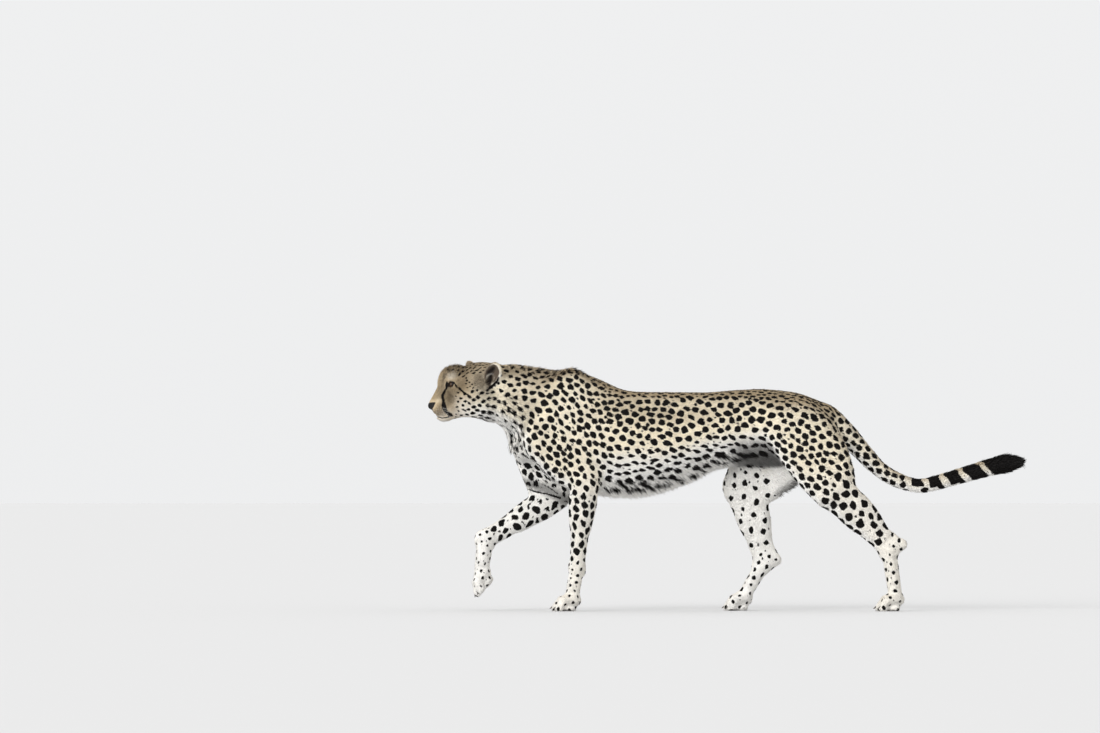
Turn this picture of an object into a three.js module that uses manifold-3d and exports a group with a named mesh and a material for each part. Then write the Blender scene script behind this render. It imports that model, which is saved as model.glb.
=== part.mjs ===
// A life-size cheetah in a stalking walk: head low and forward, left forefoot and both hind feet on the
// ground, right forefoot reaching forward just above it.
//
// Units are millimetres. +Z is up, the animal faces -Y, and its left side is +X. The body is one smooth
// distance field, built from tapered bones, ellipsoid muscles and a lofted barrel. Each named part is a
// mesh of that field, cut from its neighbours by narrow gaps.

import * as THREE from "three";
import { MeshoptSimplifier } from "three/addons/libs/meshopt_simplifier.module.js";
import { mergeVertices } from "three/addons/utils/BufferGeometryUtils.js";
import Module from "manifold-3d";

const wasm = await Module();
wasm.setup();
await MeshoptSimplifier.ready;

// ---------------------------------------------------------------- driving dimensions

const GAP = 0.3; // free space between two parts that meet
const PAD_SINK = 2.5; // how far the soft pads press past the ground plane before they are cut flat

// The joints of each leg from the top down, as [sideways, along, up]. Sideways is away from the midline.
// A foreleg's girth is half the depth of its forearm below the elbow and at the wrist.
const FORELEG = {
  left: {
    side: 1,
    withers: [42, -458, 721],
    shoulder: [74, -560, 520],
    elbow: [80, -420, 376],
    wrist: [52, -441, 132],
    knuckles: [47, -456, 41],
    girth: [31, 21.5],
    toePitch: 0,
  },
  right: {
    side: -1,
    withers: [42, -482, 716],
    shoulder: [74, -596, 512],
    elbow: [76, -506, 340],
    wrist: [58, -717, 213],
    knuckles: [54, -729, 112],
    girth: [36, 27],
    toePitch: 0.85,
  },
};

const HINDLEG = {
  left: {
    side: 1,
    hip: [56, 198, 556],
    knee: [84, 304, 362],
    hock: [60, 492, 182],
    heel: [60, 531, 200],
    knuckles: [54, 512, 43.5],
  },
  right: {
    side: -1,
    hip: [56, 198, 556],
    knee: [86, 42, 372],
    hock: [64, 120, 142],
    heel: [64, 158, 152],
    knuckles: [60, 60, 43.5],
  },
};

// The barrel of the trunk: along, top, bottom and half width at each station from chest to rump.
const BARREL = [
  [-580, 654, 462, 66],
  [-540, 674, 408, 84],
  [-470, 684, 360, 97],
  [-372, 680, 345, 107],
  [-290, 660, 341, 109],
  [-222, 647, 349, 107],
  [-120, 645, 381, 98],
  [-30, 652, 426, 88],
  [60, 666, 444, 80],
  [150, 667, 448, 80],
  [230, 654, 456, 78],
  [290, 629, 470, 66],
  [336, 594, 500, 42],
];

// The tail's centreline and radius from root to tip: sideways, along, up, radius.
const TAIL = [
  [0, 306, 589, 38],
  [0, 358, 542, 34],
  [2, 423, 468, 30],
  [5, 483, 412, 26],
  [8, 579, 375, 24],
  [10, 678, 396, 24.5],
  [4, 783, 427, 25],
  [-2, 838, 440, 27.5],
  [-7, 870, 445, 21],
  [-8, 884, 446, 12],
];

// ---------------------------------------------------------------- distance functions
// A field is a function (x, y, z) => distance in millimetres, negative inside.

const mix = (a, b, t) => a + (b - a) * t;
const clamp01 = (t) => Math.min(Math.max(t, 0), 1);

// Smooth union of two distances, rounding the seam over about k.
function soften(a, b, k) {
  const overlap = Math.max(k - Math.abs(a - b), 0) / k;
  return Math.min(a, b) - (overlap * overlap * k) / 4;
}

// Every field carries the box it fills, so that a join skips the ones too far away to matter.
const REACH = 2.5; // how many blending widths away a field still counts
function boxed(field, box) {
  field.box = box;
  return field;
}

function boxDistance({ min, max }, x, y, z) {
  const dx = Math.max(min.x - x, x - max.x, 0);
  const dy = Math.max(min.y - y, y - max.y, 0);
  const dz = Math.max(min.z - z, z - max.z, 0);
  return Math.sqrt(dx * dx + dy * dy + dz * dz);
}

function join(k, ...fields) {
  const box = new THREE.Box3();
  for (const field of fields) box.union(field.box);
  return boxed((x, y, z) => {
    let d = Infinity;
    for (const field of fields) {
      if (boxDistance(field.box, x, y, z) > d + REACH * k) continue;
      const next = field(x, y, z);
      d = d === Infinity ? next : soften(d, next, k);
    }
    return d;
  }, box);
}

const carve = (k, field, tool) =>
  boxed((x, y, z) => -soften(-field(x, y, z), tool(x, y, z), k), field.box);

const ellipsoid = ([cx, cy, cz], [rx, ry, rz]) =>
  boxed(
    (x, y, z) => {
      const [px, py, pz] = [x - cx, y - cy, z - cz];
      const k0 = Math.hypot(px / rx, py / ry, pz / rz);
      const k1 = Math.hypot(px / (rx * rx), py / (ry * ry), pz / (rz * rz));
      return k1 === 0 ? -Math.min(rx, ry, rz) : (k0 * (k0 - 1)) / k1;
    },
    new THREE.Box3(new THREE.Vector3(cx - rx, cy - ry, cz - rz), new THREE.Vector3(cx + rx, cy + ry, cz + rz)),
  );

// The same field, in a frame placed by a matrix with no scale.
function placed(matrix, field) {
  const e = matrix.clone().invert().elements;
  return boxed(
    (x, y, z) =>
      field(
        e[0] * x + e[4] * y + e[8] * z + e[12],
        e[1] * x + e[5] * y + e[9] * z + e[13],
        e[2] * x + e[6] * y + e[10] * z + e[14],
      ),
    field.box.clone().applyMatrix4(matrix),
  );
}

// A frame at a point whose Z runs along a direction and whose X stays as near sideways as it can.
function frameAlong(at, direction) {
  const zAxis = direction.clone().normalize();
  const sideways = new THREE.Vector3(1, 0, 0);
  const yAxis = new THREE.Vector3().crossVectors(zAxis, sideways).normalize();
  const xAxis = new THREE.Vector3().crossVectors(yAxis, zAxis);
  return new THREE.Matrix4().makeBasis(xAxis, yAxis, zAxis).setPosition(at);
}

// A muscle: an ellipsoid from one end to the other, with half its depth and half its width.
function muscle(from, to, depth, width) {
  const a = new THREE.Vector3(...from);
  const b = new THREE.Vector3(...to);
  const frame = frameAlong(a.clone().lerp(b, 0.5), b.clone().sub(a));
  const half = a.distanceTo(b) / 2;
  return placed(frame, ellipsoid([0, 0, 0], [width, depth, half]));
}

// A tapered bar between two points, round at both ends; flat is its width over its depth.
function bar(from, to, r0, r1, flat = 1) {
  const a = new THREE.Vector3(...from);
  const b = new THREE.Vector3(...to);
  const length = a.distanceTo(b);
  const r = Math.max(r0, r1);
  const box = new THREE.Box3(new THREE.Vector3(-r, -r, -r), new THREE.Vector3(r, r, length + r));
  const field = (x, y, z) => {
    const t = clamp01(z / length);
    return Math.hypot(x / flat, y, z - t * length) - mix(r0, r1, t);
  };
  return placed(frameAlong(a, b.sub(a)), boxed(field, box));
}

// A mirrored pair, for shapes given on one side only.
function pair(k, field) {
  const { min, max } = field.box;
  const reach = Math.max(Math.abs(min.x), Math.abs(max.x));
  const box = new THREE.Box3(new THREE.Vector3(-reach, min.y, min.z), new THREE.Vector3(reach, max.y, max.z));
  return boxed((x, y, z) => soften(field(x, y, z), field(-x, y, z), k), box);
}

// ---------------------------------------------------------------- trunk, neck and tail

const barrelProfile = new THREE.CubicInterpolant(
  BARREL.map(([along]) => along),
  BARREL.flatMap(([, ...section]) => section),
  3,
);
const BARREL_FRONT = BARREL[0][0];
const BARREL_BACK = BARREL.at(-1)[0];
const KEEL_PINCH = 0.3; // how much narrower the section is at the breastbone than an ellipse
const SPINE_PINCH = 0.12;

// The trunk's core. Its sections are ellipses pinched towards the spine and the breastbone.
const barrel = boxed((x, y, z) => {
  const along = Math.min(Math.max(y, BARREL_FRONT), BARREL_BACK);
  const [top, bottom, halfWidth] = barrelProfile.evaluate(along);
  const halfHeight = (top - bottom) / 2;
  const up = (z - (top + bottom) / 2) / halfHeight;
  const pinch = up < 0 ? KEEL_PINCH : SPINE_PINCH;
  const width = halfWidth * (1 - pinch * Math.min(up * up, 1));
  const reach = Math.hypot(x / width, up);
  const section = Math.hypot(x, up * halfHeight) * (1 - 1 / Math.max(reach, 1e-6));
  return y === along ? section : Math.hypot(Math.max(section, 0), y - along) + Math.min(section, 0);
}, new THREE.Box3(new THREE.Vector3(-110, BARREL_FRONT - 70, 330), new THREE.Vector3(110, BARREL_BACK + 50, 690)));

const trunk = join(
  30,
  barrel,
  pair(26, muscle([30, -440, 638], [28, 200, 625], 22, 28)), // long back muscles beside the spine
  pair(20, muscle([22, -452, 694], [24, -330, 651], 23, 22)), // slope behind the withers
  pair(20, muscle([48, 70, 605], [46, 320, 553], 53, 34)), // croup
  ellipsoid([0, -594, 500], [50, 46, 54]), // front of the breastbone
);

const neck = join(
  26,
  bar([0, -706, 650], [0, -540, 612], 72, 96, 0.84),
  muscle([0, -760, 688], [0, -430, 668], 52, 44), // crest
  muscle([0, -700, 706], [0, -590, 692], 34, 30), // hair of the nape
  muscle([0, -690, 630], [0, -600, 582], 35, 44), // throat
  pair(20, muscle([42, -700, 634], [64, -560, 560], 44, 30)), // side of the neck
);

const TAIL_PIECES = 30;
const tailCurve = new THREE.CatmullRomCurve3(TAIL.map(([x, y, z]) => new THREE.Vector3(x, y, z)));

function tailAt(t) {
  const place = t * (TAIL.length - 1);
  const i = Math.min(Math.floor(place), TAIL.length - 2);
  const smooth = THREE.MathUtils.smoothstep(place - i, 0, 1);
  return { point: tailCurve.getPoint(t).toArray(), radius: mix(TAIL[i][3], TAIL[i + 1][3], smooth) };
}

const tail = join(
  0.5,
  ...Array.from({ length: TAIL_PIECES }, (_, i) => {
    const [from, to] = [tailAt(i / TAIL_PIECES), tailAt((i + 1) / TAIL_PIECES)];
    return bar(from.point, to.point, from.radius, to.radius);
  }),
);

// ---------------------------------------------------------------- head

// The head is built facing +Y about its own centre, then turned to face the way the animal walks.
const HEAD_AT = [0, -762, 657];
const HEAD_TURN = 0.13; // yaw towards the left, in radians
const EYE_AT = [30, 55, 21];
const EYE_RADIUS = 14;
const headFrame = new THREE.Matrix4()
  .makeRotationZ(Math.PI + HEAD_TURN)
  .setPosition(...HEAD_AT);

// In the head's frame +Y is forward, and pairs are symmetric about X = 0.
const skull = join(
  16,
  ellipsoid([0, -28, 22], [55, 74, 66]), // braincase
  ellipsoid([0, 40, 27], [46, 56, 50]), // forehead
  pair(8, ellipsoid([38, 22, -6], [24, 42, 25])), // cheekbone
  pair(8, ellipsoid([36, -12, -26], [28, 52, 44])), // jaw muscle
);

const muzzle = join(
  9,
  bar([0, 78, 14], [0, 108, -32], 18, 14), // bridge of the nose
  ellipsoid([0, 72, -34], [29, 40, 35]),
  pair(6, ellipsoid([14.5, 92, -51], [16.5, 22, 19])), // whisker pads
  pair(6, ellipsoid([24, 46, -36], [22, 34, 33])), // in front of the cheek
  ellipsoid([0, 116, -42], [15, 13, 12.5]), // nose leather
);

const lowerJaw = join(
  10,
  ellipsoid([0, 77, -75], [20, 25, 15]), // chin
  pair(10, bar([14, 58, -62], [36, -32, -50], 15, 25)),
  ellipsoid([0, 50, -64], [24, 26, 15]), // under the tongue
);

const orbit = pair(4, ellipsoid([42, 74, 15], [13, 15, 10]));
const head = placed(
  headFrame,
  carve(
    9,
    join(
      9,
      skull,
      muzzle,
      lowerJaw,
      pair(10, ellipsoid([27, 63, 36], [17, 19, 12])), // brow
      pair(8, ellipsoid([44, -50, 34], [20, 26, 30])), // ear root
    ),
    orbit,
  ),
);

// An ear: a cup with a round top that narrows to its root. Its own +Z runs to the tip and +Y out of the
// opening, which reaches down to the root.
const EAR = { width: 27, depth: 17, height: 38, wall: 6.5 };
const EAR_ROOT = { width: 16, depth: 14, height: 30 };
const earHollow = join(
  8,
  ellipsoid([0, EAR.wall + 8, 38], [EAR.width - EAR.wall, EAR.depth + 4, EAR.height - EAR.wall]),
  ellipsoid([0, EAR.wall + 9, 10], [EAR_ROOT.width - EAR.wall, EAR_ROOT.depth + 3, EAR_ROOT.height - EAR.wall]),
);
const earCup = carve(
  3,
  join(
    14,
    ellipsoid([0, 0, 37], [EAR.width, EAR.depth, EAR.height]),
    ellipsoid([0, 0, 6], [EAR_ROOT.width, EAR_ROOT.depth, EAR_ROOT.height]),
  ),
  earHollow,
);

// Where the ears stand on the head: lean out, lean back and turn of the opening, in radians.
const EARS = {
  left: { side: -1, at: [58, -46, 20], out: 0.32, back: 0.38, turn: 1.34 },
  right: { side: 1, at: [50, -32, 30], out: 0.42, back: -0.42, turn: 0.5 },
};

function earFrame({ side, at, out, back, turn }) {
  const lean = new THREE.Matrix4().makeRotationFromEuler(new THREE.Euler(back, side * out, -side * turn, "XYZ"));
  return headFrame.clone().multiply(lean.setPosition(side * at[0], at[1], at[2]));
}

// ---------------------------------------------------------------- legs

const onSide = (side, [x, y, z]) => [side * x, y, z];
const between = (a, b, t) => a.map((v, i) => mix(v, b[i], t));
const moved = (a, dx, dy, dz) => [a[0] + dx, a[1] + dy, a[2] + dz];

// Four toes, the pads under them and the pad behind, about a frame at the knuckles that faces -Y.
const TOES = [-1.5, -0.5, 0.5, 1.5];
const toeRows = ({ spread, reach, height }) =>
  TOES.map((place) => {
    const tip = reach - 6.5 * Math.abs(place) ** 1.7;
    const x = place * spread;
    return {
      root: [x * 0.7, 4, -4],
      joint: [x * 0.98, -0.48 * tip, -0.16 * height],
      end: [x * 1.05, -tip + 11.5, -height + 15],
    };
  });

function paw(shape) {
  const { spread, height } = shape;
  const toes = toeRows(shape).map(({ root, joint, end }) =>
    join(
      6,
      bar(root, joint, 13.5, 12.5, 0.84),
      bar(joint, end, 12.5, 11.5, 0.82),
      ellipsoid(moved(end, 0, 2, -6), [9, 13, 9]),
    ),
  );
  return join(
    6,
    ellipsoid([0, -2, -9], [1.6 * spread, 30, 22]),
    ellipsoid([0, -6, 11 - height], [1.42 * spread, 21, 11]),
    ellipsoid([0, -28, 12 - height], [1.3 * spread, 20, 8]),
    join(2, ...toes),
  );
}

const WRIST_WIDTH = 19; // half the wrist's width

function foreleg({ side, withers, shoulder, elbow, wrist, knuckles, girth, toePitch }) {
  const [w, s, e, c, k] = [withers, shoulder, elbow, wrist, knuckles].map((p) => onSide(side, p));
  const out = side * 6;
  const [thick, thin] = girth;
  const upper = join(
    24,
    muscle(moved(w, out * 3, 0, 4), moved(s, -out, 18, -8), 62, 24), // blade
    muscle(moved(w, 0, 8, 4), moved(w, out * 3, 30, -120), 34, 18), // top of the blade
    bar(moved(s, -out, 6, 4), moved(e, -out, 2, 8), 48, 38, 0.76), // upper arm
    muscle(between(w, e, 0.34), moved(e, -out / 2, 24, 2), 42, 28), // triceps
    muscle(moved(s, 0, -6, 40), moved(s, 0, 4, -74), 36, 34), // point of the shoulder
    muscle(moved(s, -out, -22, -20), moved(e, -out, -62, -2), 20, 30), // front of the upper arm
  );
  const lower = join(
    16,
    bar(e, between(e, c, 0.5), 40, thick - 1, 0.78),
    bar(between(e, c, 0.4), c, thick, thin, WRIST_WIDTH / thin),
    muscle(between(e, c, -0.16), between(e, c, 0.52), 43, 31),
    bar(moved(e, -out / 3, 26, 8), between(e, c, 0.12), 17, 16), // point of the elbow
  );
  const foot = join(
    9,
    ellipsoid(moved(c, 0, -1, 0), [22, thin + 2.5, thin + 3]),
    bar(c, k, thin - 1, 21, 1.06),
    ellipsoid(moved(between(c, k, 0.12), 0, 19, -4), [8, 9, 13]), // pad behind the wrist
    bar(dewclawRoot(side, c, k), dewclawTip(side, c, k), 8, 7),
    placed(pawFrame(k, toePitch), paw(FOREPAW)),
  );
  return { upper, lower, foot };
}

const dewclawRoot = (side, c, k) => moved(between(c, k, 0.45), -side * 17, 2, 0);
const dewclawTip = (side, c, k) => moved(between(c, k, 0.68), -side * 21, -7, 0);

function hindleg({ side, hip, knee, hock, heel, knuckles }) {
  const [h, n, o, l, k] = [hip, knee, hock, heel, knuckles].map((p) => onSide(side, p));
  const out = side * 6;
  const buttock = [side * 46, 320, 518];
  const calf = between(n, o, 0.3);
  const upper = join(
    34,
    bar(h, moved(n, 0, 6, 0), 78, 50, 0.62),
    muscle(moved(h, 0, -70, 50), moved(n, 0, -8, -20), 50, 34), // front of the thigh
    muscle(buttock, moved(calf, 0, 6, 10), 45, 34), // hamstrings
    muscle(moved(h, out, 30, 46), moved(n, -out, 36, 20), 72, 36),
  );
  const lower = join(
    20,
    bar(n, between(n, o, 0.5), 46, 31, 0.7),
    bar(between(n, o, 0.4), o, 32, 24, 0.74),
    muscle(moved(n, -out / 2, 34, 24), between(n, l, 0.76), 35, 27), // calf
    bar(between(n, l, 0.6), l, 16, 14, 0.8), // tendon to the heel
  );
  const foot = join(
    11,
    ellipsoid(o, [23, 27, 28]),
    bar(l, moved(o, 0, -6, -10), 14, 23, 0.9),
    bar(o, k, 22.5, 20, 1.0),
    placed(pawFrame(k, 0), paw(HINDPAW)),
  );
  return { upper, lower, foot };
}

const FOREPAW = { spread: 18.5, reach: 64, height: 41 + PAD_SINK };
const HINDPAW = { spread: 17, reach: 63, height: 43.5 + PAD_SINK };

// The frame at the knuckles, pitched forward and down for a lifted foot.
function pawFrame(knuckles, pitch) {
  return new THREE.Matrix4().makeRotationX(pitch).setPosition(...knuckles);
}

const legs = {
  fore_left: foreleg(FORELEG.left),
  fore_right: foreleg(FORELEG.right),
  hind_left: hindleg(HINDLEG.left),
  hind_right: hindleg(HINDLEG.right),
};

// ---------------------------------------------------------------- the whole body

const core = join(40, trunk, neck);
const withHead = join(34, core, head);
const withTail = join(18, withHead, tail);
const legField = ({ upper, lower, foot }) => join(14, upper, lower, foot);
const body = join(26, withTail, ...Object.values(legs).map(legField));

// ---------------------------------------------------------------- surface net
// Meshes a field inside a box. Each cell of the grid has a vertex for each sheet of surface that passes
// through it, and each grid edge that the surface crosses has one quad. A cell's corners are numbered
// 0 to 7 by the bits x = 1, y = 2, z = 4.

const AXES = [1, 2, 4];
const CELL_EDGES = [...Array(8).keys()].flatMap((c) => AXES.filter((bit) => !(c & bit)).map((bit) => [c, c | bit]));
const edgeNumber = (from, bit) => CELL_EDGES.findIndex(([c0, c1]) => c0 === from && c1 === (from | bit));
const CELL_FACES = AXES.flatMap((bit) =>
  [0, bit].map((level) => [...Array(12).keys()].filter((e) => CELL_EDGES[e].every((c) => (c & bit) === level))),
);

// The quad round a grid edge along one axis: which cells it joins, and which edge of each cell that is.
const QUADS = AXES.map((bit, axis) => {
  const [u, v] = [(axis + 1) % 3, (axis + 2) % 3];
  const corners = [
    [1, 1],
    [0, 1],
    [0, 0],
    [1, 0],
  ];
  return corners.map(([du, dv]) => {
    const back = [0, 0, 0];
    back[u] = du;
    back[v] = dv;
    return { back, edge: edgeNumber((du ? AXES[u] : 0) | (dv ? AXES[v] : 0), bit) };
  });
});

// Numbers the sheets of surface in a cell: crossed edges that meet across a face share a sheet.
function sheetsOf(isInside) {
  const sheet = CELL_EDGES.map(([c0, c1], e) => (isInside[c0] !== isInside[c1] ? e : -1));
  const merge = (e0, e1) => {
    const [keep, drop] = [sheet[e0], sheet[e1]];
    sheet.forEach((n, e) => {
      if (n === drop) sheet[e] = keep;
    });
  };
  for (const face of CELL_FACES) {
    const crossed = face.filter((e) => sheet[e] >= 0);
    if (crossed.length === 2) merge(...crossed);
    if (crossed.length < 4) continue;
    for (const corner of new Set(crossed.flatMap((e) => CELL_EDGES[e])))
      if (isInside[corner]) merge(...crossed.filter((e) => CELL_EDGES[e].includes(corner)));
  }
  return sheet;
}

function surfaceNet(field, frame, size, cell) {
  const count = size.map((s, i) => Math.ceil(s / cell[i]) + 3);
  const step = size.map((s, i) => s / (count[i] - 3));
  const [nx, ny, nz] = count;
  const index = (i, j, k) => i + nx * (j + ny * k);
  const at = (i, j, k) =>
    new THREE.Vector3(
      (i - 1) * step[0] - size[0] / 2,
      (j - 1) * step[1] - size[1] / 2,
      (k - 1) * step[2] - size[2] / 2,
    ).applyMatrix4(frame);
  const values = new Float64Array(nx * ny * nz).fill(1);
  for (let k = 1; k < nz - 1; k++)
    for (let j = 1; j < ny - 1; j++)
      for (let i = 1; i < nx - 1; i++) {
        const p = at(i, j, k);
        values[index(i, j, k)] = field(p.x, p.y, p.z) || 1e-6;
      }

  const positions = [];
  const cells = new Map();
  const addCell = (i, j, k) => {
    const corners = [...Array(8).keys()].map((c) => [i + (c & 1), j + ((c >> 1) & 1), k + ((c >> 2) & 1)]);
    const value = corners.map((c) => values[index(...c)]);
    const isInside = value.map((d) => d < 0);
    if (isInside.every((x) => x === isInside[0])) return;
    const sheet = sheetsOf(isInside);
    for (const n of new Set(sheet.filter((x) => x >= 0))) {
      const edges = CELL_EDGES.filter((_, e) => sheet[e] === n);
      const middle = new THREE.Vector3();
      for (const [c0, c1] of edges)
        middle.add(at(...corners[c0]).lerp(at(...corners[c1]), value[c0] / (value[c0] - value[c1])));
      sheet.forEach((x, e) => {
        if (x === n) sheet[e] = -2 - positions.length / 3;
      });
      positions.push(...settle(field, middle.divideScalar(edges.length), Math.min(...step) / 2));
    }
    cells.set(
      index(i, j, k),
      sheet.map((x) => -2 - x),
    );
  };
  for (let k = 0; k < nz - 1; k++)
    for (let j = 0; j < ny - 1; j++) for (let i = 0; i < nx - 1; i++) addCell(i, j, k);

  const triangles = [];
  const addQuad = (i, j, k, axis, outwards) => {
    const [a, b, c, d] = QUADS[axis].map(({ back, edge }) => {
      return cells.get(index(i - back[0], j - back[1], k - back[2]))[edge];
    });
    triangles.push(...(outwards ? [a, b, c, a, c, d] : [a, d, c, a, c, b]));
  };
  for (let k = 0; k < nz - 1; k++)
    for (let j = 0; j < ny - 1; j++)
      for (let i = 0; i < nx - 1; i++) {
        const here = values[index(i, j, k)] < 0;
        const next = [values[index(i + 1, j, k)], values[index(i, j + 1, k)], values[index(i, j, k + 1)]];
        next.forEach((d, axis) => {
          if (here !== d < 0) addQuad(i, j, k, axis, here);
        });
      }
  const geometry = new THREE.BufferGeometry();
  geometry.setAttribute("position", new THREE.Float32BufferAttribute(positions, 3));
  geometry.setIndex(triangles);
  return geometry;
}

// Moves a point along the field's slope onto the surface, no further than a limit.
function settle(field, p, limit) {
  const e = 0.5;
  const start = p.clone();
  for (let n = 0; n < 3; n++) {
    const d = field(p.x, p.y, p.z);
    const slope = new THREE.Vector3(
      field(p.x + e, p.y, p.z) - d,
      field(p.x, p.y + e, p.z) - d,
      field(p.x, p.y, p.z + e) - d,
    ).divideScalar(e);
    p.addScaledVector(slope, -d / Math.max(slope.lengthSq(), 0.05));
  }
  if (p.distanceTo(start) > limit) p.sub(start).setLength(limit).add(start);
  return p.toArray();
}

// ---------------------------------------------------------------- solids and cuts

// Only the positions, with vertices that share a place made one.
function welded(geometry) {
  const bare = geometry.clone();
  bare.deleteAttribute("normal");
  bare.deleteAttribute("uv");
  return mergeVertices(bare, 1e-4);
}

function solid(geometry) {
  const merged = welded(geometry);
  return new wasm.Manifold(
    new wasm.Mesh({
      numProp: 3,
      vertProperties: merged.attributes.position.array,
      triVerts: new Uint32Array(merged.index.array),
    }),
  );
}

function geometryOf(manifold) {
  const { vertProperties, triVerts } = manifold.getMesh();
  const cut = new THREE.BufferGeometry();
  cut.setAttribute("position", new THREE.BufferAttribute(vertProperties, 3));
  cut.setIndex(new THREE.BufferAttribute(triVerts, 1));
  const geometry = thinned(cut, FLAT_TOLERANCE);
  geometry.computeVertexNormals();
  return geometry;
}

// The same surface pushed outwards along its normals.
function swell(geometry, amount) {
  const grown = welded(geometry);
  grown.computeVertexNormals();
  const { position, normal } = grown.attributes;
  const p = new THREE.Vector3();
  const n = new THREE.Vector3();
  for (let i = 0; i < position.count; i++) {
    p.fromBufferAttribute(position, i).addScaledVector(n.fromBufferAttribute(normal, i), amount);
    position.setXYZ(i, p.x, p.y, p.z);
  }
  return grown;
}

const FAR = 3000; // larger than the animal
const SLEEVE_CELL = 22;
const SLEEVE_TOLERANCE = 12;
const FLAT_TOLERANCE = 0.03; // for tidying flat stretches after cutting

// Everything on the side of a plane that its normal points to, starting half a gap past the plane.
function beyond({ at, towards }) {
  const box = new THREE.BoxGeometry(FAR, FAR, FAR).translate(0, 0, FAR / 2 + GAP / 2);
  return solid(box.applyMatrix4(frameAlong(new THREE.Vector3(...at), new THREE.Vector3(...towards))));
}

const flipped = ({ at, towards }) => ({ at, towards: towards.map((n) => -n) });
const within = (plane) => beyond(flipped(plane));
const aboveFloor = solid(new THREE.BoxGeometry(FAR, FAR, FAR).translate(0, 0, FAR / 2));

// The same surface with as few vertices as keep it within a tolerance, in millimetres.
function thinned(geometry, tolerance) {
  const { array } = geometry.attributes.position;
  const flags = ["ErrorAbsolute"];
  const index = new Uint32Array(geometry.index.array);
  const [triangles] = MeshoptSimplifier.simplify(index, array, 3, 0, tolerance, flags);
  const [places, count] = MeshoptSimplifier.compactMesh(triangles);
  const kept = new Float32Array(count * 3);
  places.forEach((to, from) => {
    if (to < count) kept.set(array.subarray(from * 3, from * 3 + 3), to * 3);
  });
  const thin = new THREE.BufferGeometry();
  thin.setAttribute("position", new THREE.BufferAttribute(kept, 3));
  thin.setIndex(new THREE.BufferAttribute(triangles, 1));
  return thin;
}

// A field inside a box that runs along a line. The box is [width, depth, extra at each end].
function fieldAlong(field, from, to, [width, depth, extra], cell, tolerance) {
  const a = new THREE.Vector3(...from);
  const b = new THREE.Vector3(...to);
  const frame = frameAlong(a.clone().lerp(b, 0.5), b.clone().sub(a));
  const size = [width, depth, a.distanceTo(b) + 2 * extra];
  return thinned(surfaceNet(field, frame, size, [cell, cell, cell]), tolerance);
}

const block = (...plan) => solid(fieldAlong(...plan));

// A sleeve is a loose shape round a limb. What lies inside it is the limb, what lies outside is not.
function sleeve(field, from, to, box) {
  const geometry = fieldAlong(field, from, to, box, SLEEVE_CELL, SLEEVE_TOLERANCE);
  return { inside: solid(geometry), outside: solid(swell(geometry, GAP)) };
}

// ---------------------------------------------------------------- dividing lines

const headCut = { at: [0, -686, 640], towards: [0, -1, 0.2] };
const neckCut = { at: [0, -578, 600], towards: [0, -1, 0.5] };
const tailCuts = [0.05, 0.42, 0.68].map((t) => ({
  at: tailCurve.getPointAt(t).toArray(),
  towards: tailCurve.getTangentAt(t).toArray(),
}));

const direction = (a, b) => b.map((v, i) => v - a[i]);

// The direction halfway between the one from a to b and the one from b to c.
function halfway(a, b, c) {
  const [first, second] = [direction(a, b), direction(b, c)].map((d) => new THREE.Vector3(...d).normalize());
  return first.add(second).toArray();
}

function forelegPlan({ side, withers, shoulder, elbow, wrist, knuckles }) {
  const [w, s, e, c, k] = [withers, shoulder, elbow, wrist, knuckles].map((p) => onSide(side, p));
  const shape = join(
    24,
    muscle(moved(w, side * 62, 0, 10), moved(e, side * 22, 0, -50), 96, 62),
    muscle(moved(s, side * 40, -10, 80), moved(s, side * 30, 10, -110), 76, 62),
    bar(moved(s, side * 26, -14, 0), moved(e, side * 16, -50, 6), 58, 56),
    bar(moved(e, side * 14, 0, -20), c, 70, 58),
    bar(c, k, 58, 62),
    ellipsoid(moved(k, 0, -20, -14), [64, 78, 78]),
  );
  return {
    sleeve: sleeve(shape, w, k, [260, 460, 150]),
    cuts: [
      { at: between(e, c, 0.06), towards: halfway(s, e, c) },
      { at: between(e, c, 0.92), towards: direction(e, c) },
    ],
    spans: [
      [w, e],
      [e, c],
      [c, moved(k, 0, -10, -30)],
    ],
  };
}

function hindlegPlan({ side, hip, knee, hock, knuckles }) {
  const [h, n, o, k] = [hip, knee, hock, knuckles].map((p) => onSide(side, p));
  const shape = join(
    24,
    muscle(moved(h, side * 36, 0, 92), moved(n, side * 14, 26, -60), 128, 68),
    bar(moved(n, side * 8, 24, 0), moved(o, 0, 14, 0), 100, 66, 0.62),
    bar(o, k, 66, 62, 0.9),
    ellipsoid(moved(k, 0, -20, -14), [62, 78, 70]),
  );
  return {
    sleeve: sleeve(shape, h, k, [260, 520, 160]),
    cuts: [
      { at: between(n, o, 0.04), towards: direction(n, o) },
      { at: between(n, o, 0.86), towards: direction(n, o) },
    ],
    spans: [
      [h, n],
      [n, o],
      [o, moved(k, 0, -10, -30)],
    ],
  };
}

// ---------------------------------------------------------------- claws and eyes

const CLAW = { length: 22, radius: 4.2, bend: 5, sides: 6, rings: 2 };

// A claw along +Z that bends towards -Y, then laid along a direction.
function clawGeometry(root, towards) {
  const { length, radius, bend, sides, rings } = CLAW;
  const cone = new THREE.ConeGeometry(radius, length, sides, rings).rotateX(Math.PI / 2).translate(0, 0, length / 2);
  const { position } = cone.attributes;
  for (let i = 0; i < position.count; i++) {
    const t = position.getZ(i) / length;
    position.setY(i, position.getY(i) - bend * t * t);
  }
  return cone.applyMatrix4(frameAlong(new THREE.Vector3(...root), new THREE.Vector3(...towards)));
}

function toeClaws(shape, frame) {
  return toeRows(shape).map(({ end }) => clawGeometry(moved(end, 0, -2, 4), [0, -1, -0.42]).applyMatrix4(frame));
}

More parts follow.
